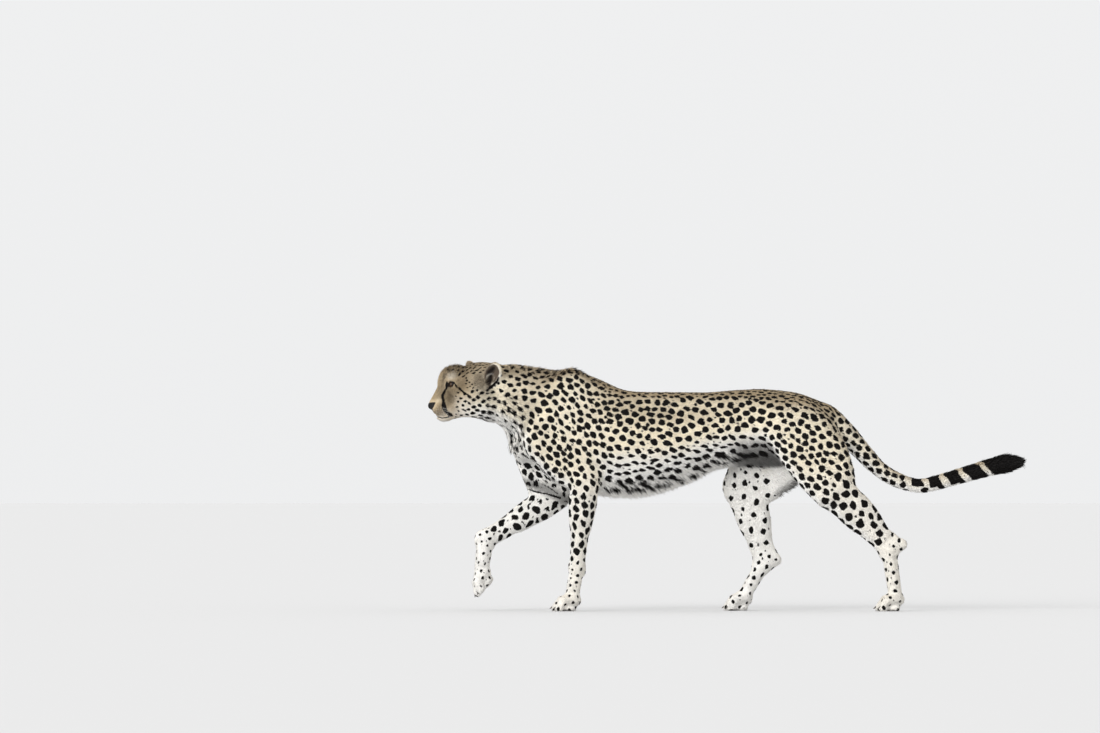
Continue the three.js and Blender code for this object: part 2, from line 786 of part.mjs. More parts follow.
function forefootClaws({ side, wrist, knuckles, toePitch }) {
  const [c, k] = [wrist, knuckles].map((p) => onSide(side, p));
  const from = dewclawRoot(side, c, k);
  const tip = dewclawTip(side, c, k);
  const dewclaw = clawGeometry(between(from, tip, 0.75), direction(from, moved(tip, -side * 3, -7, -2)));
  return [...toeClaws(FOREPAW, pawFrame(k, toePitch)), dewclaw];
}

const hindfootClaws = ({ side, knuckles }) => toeClaws(HINDPAW, pawFrame(onSide(side, knuckles), 0));

const eyeGeometry = (side, radius) =>
  new THREE.SphereGeometry(radius, 12, 8)
    .rotateX(Math.PI / 2)
    .translate(side * EYE_AT[0], EYE_AT[1], EYE_AT[2])
    .applyMatrix4(headFrame);

// ---------------------------------------------------------------- colours

const COAT = { color: 0xcbb48c, roughness: 0.85, metalness: 0 };
const CLAW_HORN = { color: 0x2c2622, roughness: 0.45, metalness: 0 };
const EYE_AMBER = { color: 0x8a5a1c, roughness: 0.12, metalness: 0 };

const cheetah = new THREE.Group();
cheetah.name = "cheetah";

function add(name, piece, finish) {
  const mesh = new THREE.Mesh(geometryOf(piece), new THREE.MeshStandardMaterial(finish));
  mesh.name = name;
  cheetah.add(mesh);
}

// ---------------------------------------------------------------- parts

// How finely each level of a leg is meshed, how true it stays, and the box it is meshed in.
const LEG_LEVELS = [
  { cell: 14, tolerance: 2.9, box: [260, 380, 130] },
  { cell: 9, tolerance: 1.9, box: [150, 210, 70] },
  { cell: 5.5, tolerance: 1.95, box: [140, 190, 60] },
];
const sleeves = [];

// Cutting can leave crumbs, which are dropped.
const largest = (piece) => piece.decompose().reduce((a, b) => (b.volume() > a.volume() ? b : a));
const outsideLegs = (piece) => sleeves.reduce((left, { outside }) => left.subtract(outside), piece);

function addLeg(names, plan, clawName, claws) {
  sleeves.push(plan.sleeve);
  const clawSockets = claws.map((claw) => solid(swell(claw, GAP)));
  for (const [i, { cell, tolerance, box }] of LEG_LEVELS.entries()) {
    let piece = block(body, ...plan.spans[i], box, cell, tolerance).intersect(plan.sleeve.inside);
    if (i > 0) piece = piece.intersect(beyond(plan.cuts[i - 1]));
    if (i < 2) piece = piece.intersect(within(plan.cuts[i]));
    if (i === 2) piece = clawSockets.reduce((left, socket) => left.subtract(socket), piece.intersect(aboveFloor));
    add(names[i], largest(piece), COAT);
  }
  claws.forEach((claw, i) => add(`claw_${clawName}_${i + 1}`, solid(claw), CLAW_HORN));
}

for (const name of ["left", "right"]) {
  const [fore, hind] = [FORELEG[name], HINDLEG[name]];
  const foreNames = [`upper_arm_${name}`, `forearm_${name}`, `forepaw_${name}`];
  const hindNames = [`thigh_${name}`, `lower_leg_${name}`, `hind_foot_${name}`];
  addLeg(foreNames, forelegPlan(fore), `fore_${name}`, forefootClaws(fore));
  addLeg(hindNames, hindlegPlan(hind), `hind_${name}`, hindfootClaws(hind));
}

const EAR_CELL = 3.5;
const EAR_TOLERANCE = 1.3;
const ears = [];
for (const [name, place] of Object.entries(EARS)) {
  const frame = earFrame(place);
  const middle = new THREE.Vector3(0, 0, 28).applyMatrix4(frame);
  const size = [2 * EAR.width + 8, 2 * EAR.depth + 8, 2 * EAR.height + 8];
  const net = surfaceNet(placed(frame, earCup), frame.clone().setPosition(middle), size, Array(3).fill(EAR_CELL));
  ears.push({ name: `ear_${name}`, geometry: thinned(net, EAR_TOLERANCE) });
}
const clearOfEars = (piece) => ears.reduce((left, ear) => left.subtract(solid(swell(ear.geometry, GAP))), piece);

const eyes = [
  { name: "eye_left", side: -1 },
  { name: "eye_right", side: 1 },
];

const HEAD_CELL = 5;
const HEAD_TOLERANCE = 1;
const headBox = headFrame.clone().multiply(new THREE.Matrix4().makeTranslation(0, 10, -4));
const headNet = thinned(surfaceNet(body, headBox, [180, 268, 236], Array(3).fill(HEAD_CELL)), HEAD_TOLERANCE);
let headPiece = clearOfEars(solid(headNet).intersect(beyond(headCut)));
for (const { side } of eyes) headPiece = headPiece.subtract(solid(eyeGeometry(side, EYE_RADIUS + GAP)));
add("head", largest(headPiece), COAT);
for (const { name, geometry } of ears) add(name, solid(geometry), COAT);
for (const { name, side } of eyes) add(name, solid(eyeGeometry(side, EYE_RADIUS)), EYE_AMBER);

const neckBlock = block(body, [0, -720, 650], [0, -540, 580], [300, 330, 60], 14, 2.4);
const neckPiece = neckBlock.intersect(within(headCut)).intersect(beyond(neckCut));
add("neck", largest(clearOfEars(outsideLegs(neckPiece))), COAT);

const SLEEVE_PIECES = 8;
const tailSleeveField = join(
  8,
  ...Array.from({ length: SLEEVE_PIECES }, (_, i) => {
    const [from, to] = [tailAt(i / SLEEVE_PIECES), tailAt((i + 1) / SLEEVE_PIECES)];
    return bar(from.point, to.point, from.radius + 14, to.radius + 14);
  }),
);
const [tailRoot, tailEnd] = [TAIL[0], TAIL.at(-1)].map(([x, y, z]) => [x, y, z]);
const tailSleeve = sleeve(tailSleeveField, tailRoot, tailEnd, [160, 420, 80]);

const trunkBlock = block(body, [0, -640, 520], [0, 350, 560], [300, 520, 60], 16, 3.3);
const trunkPiece = trunkBlock
  .intersect(within(neckCut))
  .subtract(tailSleeve.outside.subtract(within(tailCuts[0])));
add("trunk", largest(outsideLegs(trunkPiece)), COAT);

const TAIL_NAMES = ["tail_base", "tail_middle", "tail_tip"];
for (const [i, name] of TAIL_NAMES.entries()) {
  const end = i < 2 ? tailCuts[i + 1].at : tailEnd;
  let piece = block(body, tailCuts[i].at, end, [110, 170, 60], 8, 1.9);
  piece = piece.intersect(tailSleeve.inside).intersect(beyond(tailCuts[i]));
  if (i < 2) piece = piece.intersect(within(tailCuts[i + 1]));
  add(name, largest(outsideLegs(piece)), COAT);
}

export default cheetah;
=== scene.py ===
"""Looks of the walking cheetah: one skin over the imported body, with its coat, eyes, claws and whiskers.

Lengths are in metres in the row frame: +Z up, the animal faces -Y, its left side is +X. The coat's measures
and places on the head are in millimetres; the head has a frame of its own, worked out from the two eyes.
"""

import math

import bmesh
import bpy
import numpy as np
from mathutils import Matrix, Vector
from mathutils.bvhtree import BVHTree
from mathutils.kdtree import KDTree


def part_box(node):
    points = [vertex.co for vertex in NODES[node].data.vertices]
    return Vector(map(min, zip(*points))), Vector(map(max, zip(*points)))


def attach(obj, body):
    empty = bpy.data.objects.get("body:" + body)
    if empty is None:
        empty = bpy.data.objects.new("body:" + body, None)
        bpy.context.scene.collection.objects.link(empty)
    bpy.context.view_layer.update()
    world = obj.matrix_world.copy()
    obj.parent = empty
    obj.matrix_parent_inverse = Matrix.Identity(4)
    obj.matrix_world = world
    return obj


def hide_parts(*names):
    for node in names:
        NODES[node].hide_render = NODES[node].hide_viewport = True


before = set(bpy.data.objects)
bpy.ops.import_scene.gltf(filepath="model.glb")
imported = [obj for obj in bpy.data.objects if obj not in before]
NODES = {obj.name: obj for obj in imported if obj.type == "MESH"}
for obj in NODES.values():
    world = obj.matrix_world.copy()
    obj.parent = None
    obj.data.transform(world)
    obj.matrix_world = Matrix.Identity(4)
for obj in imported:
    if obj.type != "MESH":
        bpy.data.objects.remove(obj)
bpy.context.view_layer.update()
MM = 0.001

# ---------------------------------------------------------------- arrays and meshes


def unit(v):
    return v / np.maximum(np.linalg.norm(v, axis=-1, keepdims=True), 1e-12)


def smoothstep(low, high, x):
    t = np.clip((x - low) / (high - low), 0, 1)
    return t * t * (3 - 2 * t)


def flattened(ways, normals):
    """Directions laid flat on the surface that the normals stand on."""
    return ways - normals * np.sum(ways * normals, axis=1, keepdims=True)


def mesh_arrays(mesh):
    """Vertex places and corner indices of the triangles of a mesh."""
    mesh.calc_loop_triangles()
    places = np.empty(len(mesh.vertices) * 3)
    mesh.vertices.foreach_get("co", places)
    corners = np.empty(len(mesh.loop_triangles) * 3, np.int32)
    mesh.loop_triangles.foreach_get("vertices", corners)
    return places.reshape(-1, 3), corners.reshape(-1, 3)


def welded(places, triangles):
    """The same triangles with one vertex at each place."""
    keys = np.round(places / (0.01 * MM)).astype(np.int64)
    _, first, which = np.unique(keys, axis=0, return_index=True, return_inverse=True)
    triangles = which.reshape(-1)[triangles]
    lost = (triangles[:, 0] == triangles[:, 1]) | (triangles[:, 1] == triangles[:, 2])
    lost |= triangles[:, 2] == triangles[:, 0]
    return places[first], triangles[~lost]


def node_arrays(name):
    return welded(*mesh_arrays(NODES[name].data))


def vertex_normals(places, triangles):
    a, b, c = (places[triangles[:, i]] for i in range(3))
    area = np.cross(b - a, c - a)
    total = np.zeros_like(places)
    for i in range(3):
        for axis in range(3):
            total[:, axis] += np.bincount(triangles[:, i], area[:, axis], len(places))
    return unit(total)


def combined(parts):
    """Several (places, triangles) as one."""
    offsets = np.cumsum([0] + [len(p) for p, _ in parts[:-1]])
    places = np.concatenate([p for p, _ in parts])
    return places, np.concatenate([t + o for (_, t), o in zip(parts, offsets, strict=True)])


def new_object(name, places, faces):
    """An object from vertex places and an array of faces that all have the same number of corners."""
    mesh = bpy.data.meshes.new(name)
    count, sides = faces.shape
    mesh.vertices.add(len(places))
    mesh.vertices.foreach_set("co", np.ascontiguousarray(places, np.float32).ravel())
    mesh.loops.add(count * sides)
    mesh.loops.foreach_set("vertex_index", faces.astype(np.int32).ravel())
    mesh.polygons.add(count)
    mesh.polygons.foreach_set("loop_start", np.arange(0, count * sides, sides, dtype=np.int32))
    mesh.update(calc_edges=True)
    mesh.shade_smooth()
    piece = bpy.data.objects.new(name, mesh)
    bpy.context.scene.collection.objects.link(piece)
    return piece


def with_modifiers(piece):
    """The mesh of a piece with its modifiers applied."""
    seen = piece.evaluated_get(bpy.context.evaluated_depsgraph_get())
    return bpy.data.meshes.new_from_object(seen)


def discard(piece):
    mesh = piece.data
    bpy.data.objects.remove(piece)
    bpy.data.meshes.remove(mesh)


# ---------------------------------------------------------------- landmarks

EYES = {side: [Vector(c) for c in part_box(f"eye_{side}")] for side in ("left", "right")}
EYE_CENTRE = {side: np.array((low + high) / 2) for side, (low, high) in EYES.items()}
EYE_RADIUS = (EYES["left"][1].z - EYES["left"][0].z) / 2
EYE_AHEAD, EYE_UP = 0.055, 0.021  # of the eyes from the middle of the head

UP = np.array([0.0, 0.0, 1.0])
HEAD_SIDE = unit(EYE_CENTRE["left"] - EYE_CENTRE["right"])
HEAD_AHEAD = unit(np.cross(HEAD_SIDE, UP))
HEAD_AXES = np.stack([HEAD_SIDE, HEAD_AHEAD, UP])  # rows: the animal's left, ahead and up
HEAD_AT = (EYE_CENTRE["left"] + EYE_CENTRE["right"]) / 2 - HEAD_AHEAD * EYE_AHEAD - UP * EYE_UP
BALL = EYE_RADIUS / MM


def in_head(places):
    """Places in the head's own frame, in millimetres: towards the left, ahead, up."""
    return (places - HEAD_AT) @ HEAD_AXES.T / MM


def folded(head):
    """Places on the head, with its right side turned over onto its left."""
    return np.stack([np.abs(head[:, 0]), head[:, 1], head[:, 2]], 1)


def from_head(places):
    return np.asarray(places) * MM @ HEAD_AXES + HEAD_AT


# ---------------------------------------------------------------- the skin's surface

FLESH = sorted(n for n in NODES if not n.startswith(("eye_", "claw_")))
VOXEL = 4.2 * MM
BRIDGE = 0.7 * MM  # how far each node is swollen, so that the thin gaps between them close


def flesh_union():
    """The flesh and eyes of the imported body, swollen a little, remeshed as one closed surface."""
    parts = []
    for name in FLESH + ["eye_left", "eye_right"]:
        places, triangles = node_arrays(name)
        parts.append((places + BRIDGE * vertex_normals(places, triangles), triangles))
    block = new_object("flesh", *combined(parts))
    remesh = block.modifiers.new("remesh", "REMESH")
    remesh.mode = "VOXEL"
    remesh.voxel_size = VOXEL
    mesh = with_modifiers(block)
    discard(block)
    return mesh


def mesh_edges(mesh):
    edges = np.empty(len(mesh.edges) * 2, np.int32)
    mesh.edges.foreach_get("vertices", edges)
    return edges.reshape(-1, 2)


class Spread:
    """Averaging over the neighbours of each vertex of a mesh."""

    def __init__(self, edges, count):
        self.count = count
        self.ends = np.concatenate([edges[:, 0], edges[:, 1]])
        self.starts = np.concatenate([edges[:, 1], edges[:, 0]])
        order = np.argsort(self.ends, kind="stable")
        self.starts = self.starts[order]
        self.offsets = np.searchsorted(self.ends[order], np.arange(count))
        self.degree = np.maximum(np.bincount(self.ends, minlength=count), 1)[:, None]

    def mean(self, values):
        return np.add.reduceat(values[self.starts], self.offsets, axis=0) / self.degree

    def smooth(self, values, rounds, share=0.5):
        """values moved towards their neighbours' mean, share of the way, rounds times."""
        flat = values.ndim == 1
        values = values[:, None] if flat else values
        for _ in range(rounds):
            values = values + share * (self.mean(values) - values)
        return values[:, 0] if flat else values


def largest_shell(quads, edges, count):
    """Which vertices are on the largest connected shell, the outside, and its faces. Any hollow that the
    union left is lost."""
    label = np.arange(count)
    while True:
        low = np.minimum(label[edges[:, 0]], label[edges[:, 1]])
        after = label.copy()
        np.minimum.at(after, edges[:, 0], low)
        np.minimum.at(after, edges[:, 1], low)
        after = after[after]
        if (after == label).all():
            break
        label = after
    shells, sizes = np.unique(label, return_counts=True)
    keep = label == shells[sizes.argmax()]
    renumber = np.cumsum(keep) - 1
    return keep, renumber[quads[keep[quads[:, 0]]]]


def quads_of(mesh):
    corners = np.empty(len(mesh.loops), np.int32)
    mesh.loops.foreach_get("vertex_index", corners)
    return corners.reshape(-1, 4)


def split_quads(quads):
    return np.concatenate([quads[:, [0, 1, 2]], quads[:, [0, 2, 3]]])


# How far the facets of each part are smoothed, in rounds of averaging, and how deep its coat is.
SMOOTHING = {
    "head": 6, "ear": 2, "neck": 90, "trunk": 160, "tail": 30, "upper": 60, "forearm": 20,
    "forepaw": 3, "thigh": 90, "lower": 24, "hind": 4,
}
COAT_DEPTH = {
    "head": 1.6, "ear": 1.2, "neck": 5, "trunk": 4, "tail": 5, "upper": 4, "forearm": 2.6,
    "forepaw": 1.6, "thigh": 4, "lower": 3, "hind": 1.8,
}
BELLY_DEPTH = 9.0  # more, where the hair hangs from the belly


def bump_at(x, middle, half):
    """1 near the middle of a range, falling smoothly to 0 at its ends."""
    return smoothstep(1.0, 0.35, np.abs(x - middle) / half)


def belly_of(skin, normals):
    """1 where long hair hangs from the belly."""
    under = smoothstep(-0.45, -0.85, normals[:, 2]) * (skin.kind == "trunk")
    return skin.spread.smooth(under * bump_at(skin.places[:, 1], -0.22, 0.33), 10)


def nearest_nodes(places):
    """For each place, the index in FLESH of the node it lies nearest to."""
    parts = [node_arrays(name) for name in FLESH]
    owner = np.repeat(np.arange(len(parts)), [len(t) for _, t in parts])
    all_places, triangles = combined(parts)
    tree = BVHTree.FromPolygons(all_places.tolist(), triangles.tolist())
    return owner[[tree.find_nearest(p)[2] for p in places.tolist()]]


def refined(places, quads, chosen):
    """The faces with each chosen one cut into four, and its neighbours cut to meet it."""
    block = bmesh.new()
    mesh = bpy.data.meshes.new("refining")
    mesh.from_pydata(places.tolist(), [], quads.tolist())
    block.from_mesh(mesh)
    bpy.data.meshes.remove(mesh)
    block.faces.ensure_lookup_table()
    edges = {edge for n in np.flatnonzero(chosen) for edge in block.faces[n].edges}
    bmesh.ops.subdivide_edges(block, edges=list(edges), cuts=1, use_grid_fill=True)
    bmesh.ops.triangulate(block, faces=[f for f in block.faces if len(f.verts) > 4])
    places = np.array([v.co for v in block.verts])
    faces = [[v.index for v in f.verts] for f in block.faces]
    block.free()
    return places, np.array([f if len(f) == 4 else f + f[-1:] for f in faces])


class Skin:
    """The skin's surface as arrays, with the node that each vertex belongs to. A triangle is a face
    whose last corner comes twice."""

    def __init__(self, places, faces):
        self.places = places
        self.faces = faces
        sides = np.concatenate([faces[:, [i, (i + 1) % 4]] for i in range(4)])
        sides = np.unique(np.sort(sides[sides[:, 0] != sides[:, 1]], axis=1), axis=0)
        self.spread = Spread(sides, len(places))
        self.node = nearest_nodes(places)
        self.kind = np.array([name.split("_")[0] for name in FLESH])[self.node]

    def per_kind(self, table, rounds=12):
        """A value for each vertex from a table by kind of part, blended where parts meet."""
        kinds = sorted(table)
        raw = np.array([table[k] for k in kinds], float)[np.searchsorted(kinds, self.kind)]
        return self.spread.smooth(raw, rounds)

    def triangles(self):
        both = split_quads(self.faces)
        return both[(both[:, 1] != both[:, 2]) & (both[:, 0] != both[:, 2])]

    def corners(self):
        """The places of the triangles' first, second and third corners."""
        return (self.places[self.triangles()[:, i]] for i in range(3))

    def normals(self):
        return vertex_normals(self.places, self.triangles())

    def face_middles(self):
        return self.places[self.faces].mean(1)

    def near(self, centres, reach):
        """Which faces have their middle within reach of any of the centres."""
        middles = self.face_middles()
        return np.min([np.linalg.norm(middles - c, axis=1) for c in centres], axis=0) < reach


def smoothed(skin, table):
    """The skin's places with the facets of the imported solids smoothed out, and its bulk kept."""
    rounds = skin.per_kind(table, 20)

    def relax(values):
        for n in range(int(rounds.max())):
            share = 0.5 * np.clip(rounds - n, 0, 1)[:, None]
            values = values + share * (skin.spread.mean(values) - values)
        return values

    once = relax(skin.places)
    return once + relax(skin.places - once)


# Where the faces are cut finer, and then finer again: the middles of balls, and how far they reach.
FACE_BALLS = [from_head(p) for p in ((0, 60, 10), (0, 90, -45), (45, -55, 60), (-45, -45, 60))]
FEATURES = ((0, 118, -42), (0, 108, -66), (18, 92, -74), (-18, 92, -74), (26, 66, -72), (-26, 66, -72))
FEATURE_BALLS = [*EYE_CENTRE.values(), *(from_head(p) for p in FEATURES)]
FINER = ((FACE_BALLS, 0.075), (FEATURE_BALLS, 0.024))


def make_skin():
    """The smoothed union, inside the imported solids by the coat's depth, finest on the face."""
    mesh = flesh_union()
    places, _ = mesh_arrays(mesh)
    keep, quads = largest_shell(quads_of(mesh), mesh_edges(mesh), len(places))
    skin = Skin(places[keep], quads)
    skin.places = smoothed(skin, SMOOTHING)
    depth = skin.per_kind(COAT_DEPTH) + BELLY_DEPTH * belly_of(skin, skin.normals())
    skin.places = skin.places - skin.normals() * (depth * MM)[:, None]
    for centres, reach in FINER:
        skin = Skin(*refined(skin.places, skin.faces, skin.near(centres, reach)))
        skin.places = smoothed(skin, {kind: 2 if kind in ("head", "ear") else 0 for kind in SMOOTHING})
    return skin


# ---------------------------------------------------------------- the face


def almond(across, up, half_width, rise, fall):
    """Signed distance to an almond with its corners at (+-half_width, 0)."""

    def arc(height, sign):
        radius = (half_width**2 + height**2) / (2 * height)
        return np.hypot(across, up * sign + radius - height) - radius

    return np.maximum(arc(rise, 1), arc(fall, -1))


EYE_AXIS = {"left": unit(np.array([0.74, 0.67, 0.02])), "right": unit(np.array([-0.74, 0.67, 0.02]))}
EYE_SLANT = math.radians(38)  # how far the outer corner stands above the inner one
LID = {
    "half_width": 13.0, "rise": 9.4, "fall": 4.6, "low": 2.2, "thickness": 1.5, "tucked": 2.4, "reach": 16,
    "crease_at": 4.2, "crease_width": 1.1, "crease_depth": 0.7,
}
NOWHERE_NEAR = 50.0  # millimetres


def eye_frame(side):
    """The eye's middle in the head's frame, and its axes: outwards, to the outer corner, and up."""
    out = EYE_AXIS[side]
    up = unit(UP - out * (UP @ out))
    back = np.cross(out, up) * (1 if side == "left" else -1)
    back, up = (
        back * math.cos(EYE_SLANT) + up * math.sin(EYE_SLANT),
        up * math.cos(EYE_SLANT) - back * math.sin(EYE_SLANT),
    )
    return in_head(EYE_CENTRE[side]), out, back, up


def eye_opening(side, places):
    """Signed distance in millimetres from places in the head's frame to the edge of the eye's opening,
    measured over the ball, and how far they are from the ball's middle."""
    middle, out, back, up = eye_frame(side)
    away = places - middle
    radius = np.linalg.norm(away, axis=1)
    ahead = np.maximum(away @ out, 1e-3 * radius)
    across, height = (np.arctan2(away @ axis, ahead) * BALL for axis in (back, up))
    edge = almond(across, height + LID["low"], LID["half_width"], LID["rise"], LID["fall"])
    return np.where(away @ out > 0, edge, NOWHERE_NEAR), radius


def shape_lids(head):
    """Lids that lie on the ball, with the skin inside their opening tucked behind it."""
    for side in EYES:
        middle = eye_frame(side)[0]
        edge, radius = eye_opening(side, head)
        tucked = BALL - LID["tucked"] + (LID["tucked"] + LID["thickness"]) * smoothstep(-0.9, 0.7, edge)
        close = radius < BALL + LID["reach"]
        hold = (1 - smoothstep(2.5, 9.0, edge)) * close
        crease = LID["crease_depth"] * np.exp(-(((edge - LID["crease_at"]) / LID["crease_width"]) ** 2))
        wanted = radius + hold * (tucked - radius) - crease * close
        head = middle + (head - middle) * (wanted / np.maximum(radius, 1e-6))[:, None]
    return head


MOUTH = np.array([(112, -63), (105, -70), (96, -76), (86, -79), (74, -78), (57, -71)], float)  # ahead, up
NOSTRIL = np.array([7.2, 123.5, -43.0])


def mouth_height(ahead):
    order = MOUTH[::-1]
    return np.interp(ahead, order[:, 0], order[:, 1])


def mouth_distance(head):
    """Distance in millimetres to the line between the lips, seen from the side."""
    beyond = np.maximum(MOUTH[-1, 0] - head[:, 1], 0)
    return np.hypot(head[:, 2] - mouth_height(head[:, 1]), beyond)


def philtrum_distance(head):
    beyond = np.maximum(head[:, 2] + 52, 0) + np.maximum(-68 - head[:, 2], 0)
    return np.hypot(head[:, 0], beyond) + np.where(head[:, 1] < 100, NOWHERE_NEAR, 0)


def nostril_distance(head):
    """Distance to the nostrils, which are commas that run out and back from the hole."""
    near = folded(head)
    tail = np.array([5.0, -6.5, 1.5])
    along = np.clip(((near - NOSTRIL) @ tail) / (tail @ tail), 0, 1)
    spine = NOSTRIL + along[:, None] * tail
    return np.linalg.norm(near - spine, axis=1) + 1.6 * along


NOSE_TOP = -33.0
NOSE_ROUND = 1.8  # how far its corners are rounded
NOSE_REAR = (94.0, -33.0)  # the upper rear corner of the leather: ahead, up
NOSE_SLOPE = unit(np.array([-25.0, -9.0]))  # across its rear edge, which leans forward and down


def nose_distance(head):
    """Signed distance to the edge of the nose leather, a wedge seen from the side."""
    above = head[:, 2] - NOSE_TOP - 0.12 * np.abs(head[:, 0])
    behind = (head[:, 1:] - NOSE_REAR) @ NOSE_SLOPE
    outside = np.abs(head[:, 0]) - 4.5 - 13.4 * smoothstep(-61, -46, head[:, 2])
    sides = np.exp(np.stack([above, behind, outside]) / NOSE_ROUND)
    return NOSE_ROUND * np.log(sides.sum(0))


# The lines of the muzzle, with how deep each is pressed in, and how wide it is.
GROOVES = (
    (mouth_distance, 2.6, 1.7), (philtrum_distance, 1.5, 1.5), (nostril_distance, 5.4, 3.0),
    (nose_distance, 0.7, 1.2),
)


def shape_muzzle(head, normals):
    """The mouth line, the groove below the nose, the nostrils and the leather's edge."""
    sunk = sum(deep * np.exp(-((distance(head) / wide) ** 2)) for distance, deep, wide in GROOVES)
    return head - normals * (sunk * (head[:, 1] > 40))[:, None]


def on_front(head):
    """Which places are on the front of the head."""
    return np.linalg.norm(head - (0, 60, -10), axis=1) < 130


def shape_face(skin):
    head = in_head(skin.places)
    is_face = on_front(head) & ((skin.kind == "head") | (skin.kind == "neck"))
    normals = skin.normals() @ HEAD_AXES.T
    head[is_face] = shape_muzzle(head[is_face], normals[is_face])
    head[is_face] = shape_lids(head[is_face])
    skin.places = from_head(head)


# ---------------------------------------------------------------- the ears

EAR_MOUTH = {"up": -15.0, "half_width": 11.0, "half_height": 21.0, "sunk": 8.0}  # on the head


class Ear:
    """One ear's axes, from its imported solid, and where the skin's vertices lie along them, in
    millimetres: towards its rear edge, up to its tip, and out of its hollow."""

    def __init__(self, skin, side):
        outwards = 1 if side == "left" else -1
        solid, _ = node_arrays(f"ear_{side}")
        tip, rear, opening = np.linalg.svd(solid - solid.mean(0), full_matrices=False)[2]
        rear = rear * np.sign(rear @ (0.5 * outwards, 1, 0))
        tip = tip * np.sign(tip @ UP)
        opening = opening * np.sign(opening @ (0.8 * outwards, -0.6, 0))
        self.axes = np.stack([rear, tip, opening])
        own = solid @ self.axes.T
        self.middle = (own.min(0) + own.max(0)) / 2
        self.across, self.up, self.out = ((skin.places @ self.axes.T - self.middle) / MM).T
        self.depth = (own.max(0) - self.middle)[2] / MM - self.out
        self.mine = skin.node == FLESH.index(f"ear_{side}")
        self.on_head = (skin.kind == "head") & (np.abs(self.out) < 30)

    def mouth(self):
        """Distance in millimetres to the edge of the part of the hollow that lies on the head."""
        wide, high = EAR_MOUTH["half_width"], EAR_MOUTH["half_height"]
        return (np.hypot(self.across / wide, (self.up - EAR_MOUTH["up"]) / high) - 1) * wide

    def inside(self, skin):
        """1 in the hollow, 0 outside it."""
        ahead = self.axes.T @ (self.middle + (0, 0, 12 * MM)) - skin.places
        inwards = np.sum(unit(ahead) * skin.normal, axis=1)
        cup = self.mine * smoothstep(0.1, 0.45, inwards) * smoothstep(2.0, 5.5, self.depth)
        return np.maximum(cup, self.on_head * smoothstep(2.5, -1.5, self.mouth()))


def shape_ears(skin):
    """The hollows of the ears carried down into the head."""
    for side in EYES:
        ear = Ear(skin, side)
        sunk = EAR_MOUTH["sunk"] * ear.on_head * smoothstep(1.5, -7.0, ear.mouth())
        skin.places = skin.places - ear.axes[2] * (sunk * MM)[:, None]


# ---------------------------------------------------------------- how the coat lies


def middle(name):
    low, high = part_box(name)
    return (np.array(low) + np.array(high)) / 2


def toes(end, side):
    return np.mean([middle(f"claw_{end}_{side}_{n}") for n in range(1, 5)], axis=0)


def limb_lies():
    """Which way the coat lies on each node of the limbs: from joint to joint, down to the toes."""
    lies = {}
    for side in ("left", "right"):
        for chain, end, swept in (
            (("upper_arm", "forearm", "forepaw"), "fore", 0.45),
            (("thigh", "lower_leg", "hind_foot"), "hind", 0.75),
        ):
            first, second, third = (middle(f"{name}_{side}") for name in chain)
            lies[f"{chain[0]}_{side}"] = unit(second - first) + (0, swept, 0)
            lies[f"{chain[1]}_{side}"] = unit(third - first)
            lies[f"{chain[2]}_{side}"] = unit(toes(end, side) - second)
    return lies


TAIL = [middle(f"tail_{part}") for part in ("base", "middle", "tip")]
LIES = {
    "trunk": (0, 1, -0.22), "neck": (0, 1, -0.42), "tail_base": TAIL[1] - TAIL[0],
    "tail_middle": TAIL[2] - TAIL[0], "tail_tip": TAIL[2] - TAIL[1],
} | limb_lies()
NOSE_TIP = from_head((0, 128, -40))


def lie_of_coat(skin, normals):
    """For each vertex, the direction along the skin in which its hair points."""
    table = np.array([LIES.get(name, (0, 0, 0)) for name in FLESH], float)
    raw = unit(table[skin.node])
    head = skin.kind == "head"
    raw[head] = unit(skin.places[head] - NOSE_TIP)
    for side in ("left", "right"):
        low, high = (np.array(c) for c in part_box(f"ear_{side}"))
        base = np.array([(low[0] + high[0]) / 2 * 0.8, (low[1] + high[1]) / 2, low[2]])
        ear = skin.node == FLESH.index(f"ear_{side}")
        raw[ear] = unit(skin.places[ear] - base)
    lie = skin.spread.smooth(raw, 70)
    lie = skin.spread.smooth(lie * ~head[:, None] + raw * head[:, None], 6)
    lie = flattened(unit(lie), normals)
    return unit(skin.spread.smooth(unit(lie), 4))


# ---------------------------------------------------------------- markings

RANDOM = np.random.default_rng(23)
FAR = 30.0  # millimetres from any marking
REACH_SHARE = 0.455  # of the way to its nearest neighbour that a spot may reach

# By kind of part: millimetres between the spots, their radius, and their length over their width.
SPACING = {
    "head": 10.5, "ear": 11, "neck": 24, "trunk": 26.5, "tail": 24, "upper": 24.5, "forearm": 29,
    "forepaw": 23, "thigh": 27, "lower": 31.5, "hind": 27,
}
RADIUS = {
    "head": 2.5, "ear": 1, "neck": 8.3, "trunk": 10.8, "tail": 12.5, "upper": 10.0, "forearm": 10.6,
    "forepaw": 4.2, "thigh": 10.8, "lower": 11.8, "hind": 5.4,
}
LENGTH = {
    "head": 1.5, "ear": 1, "neck": 1.25, "trunk": 1.2, "tail": 1.2, "upper": 1.4, "forearm": 1.35,
    "forepaw": 1.2, "thigh": 1.3, "lower": 1.2, "hind": 1.3,
}


def kd_tree(places):
    tree = KDTree(len(places))
    for n, place in enumerate(places.tolist()):
        tree.insert(place, n)
    tree.balance()
    return tree


def nearest(tree, places):
    """For each place, the number of the tree's nearest point."""
    return np.array([tree.find(p)[1] for p in places.tolist()])


def within(tree, place, reach):
    """The numbers of the tree's points within reach of a place."""
    return np.array([hit for _, hit, _ in tree.find_range(place, reach)])


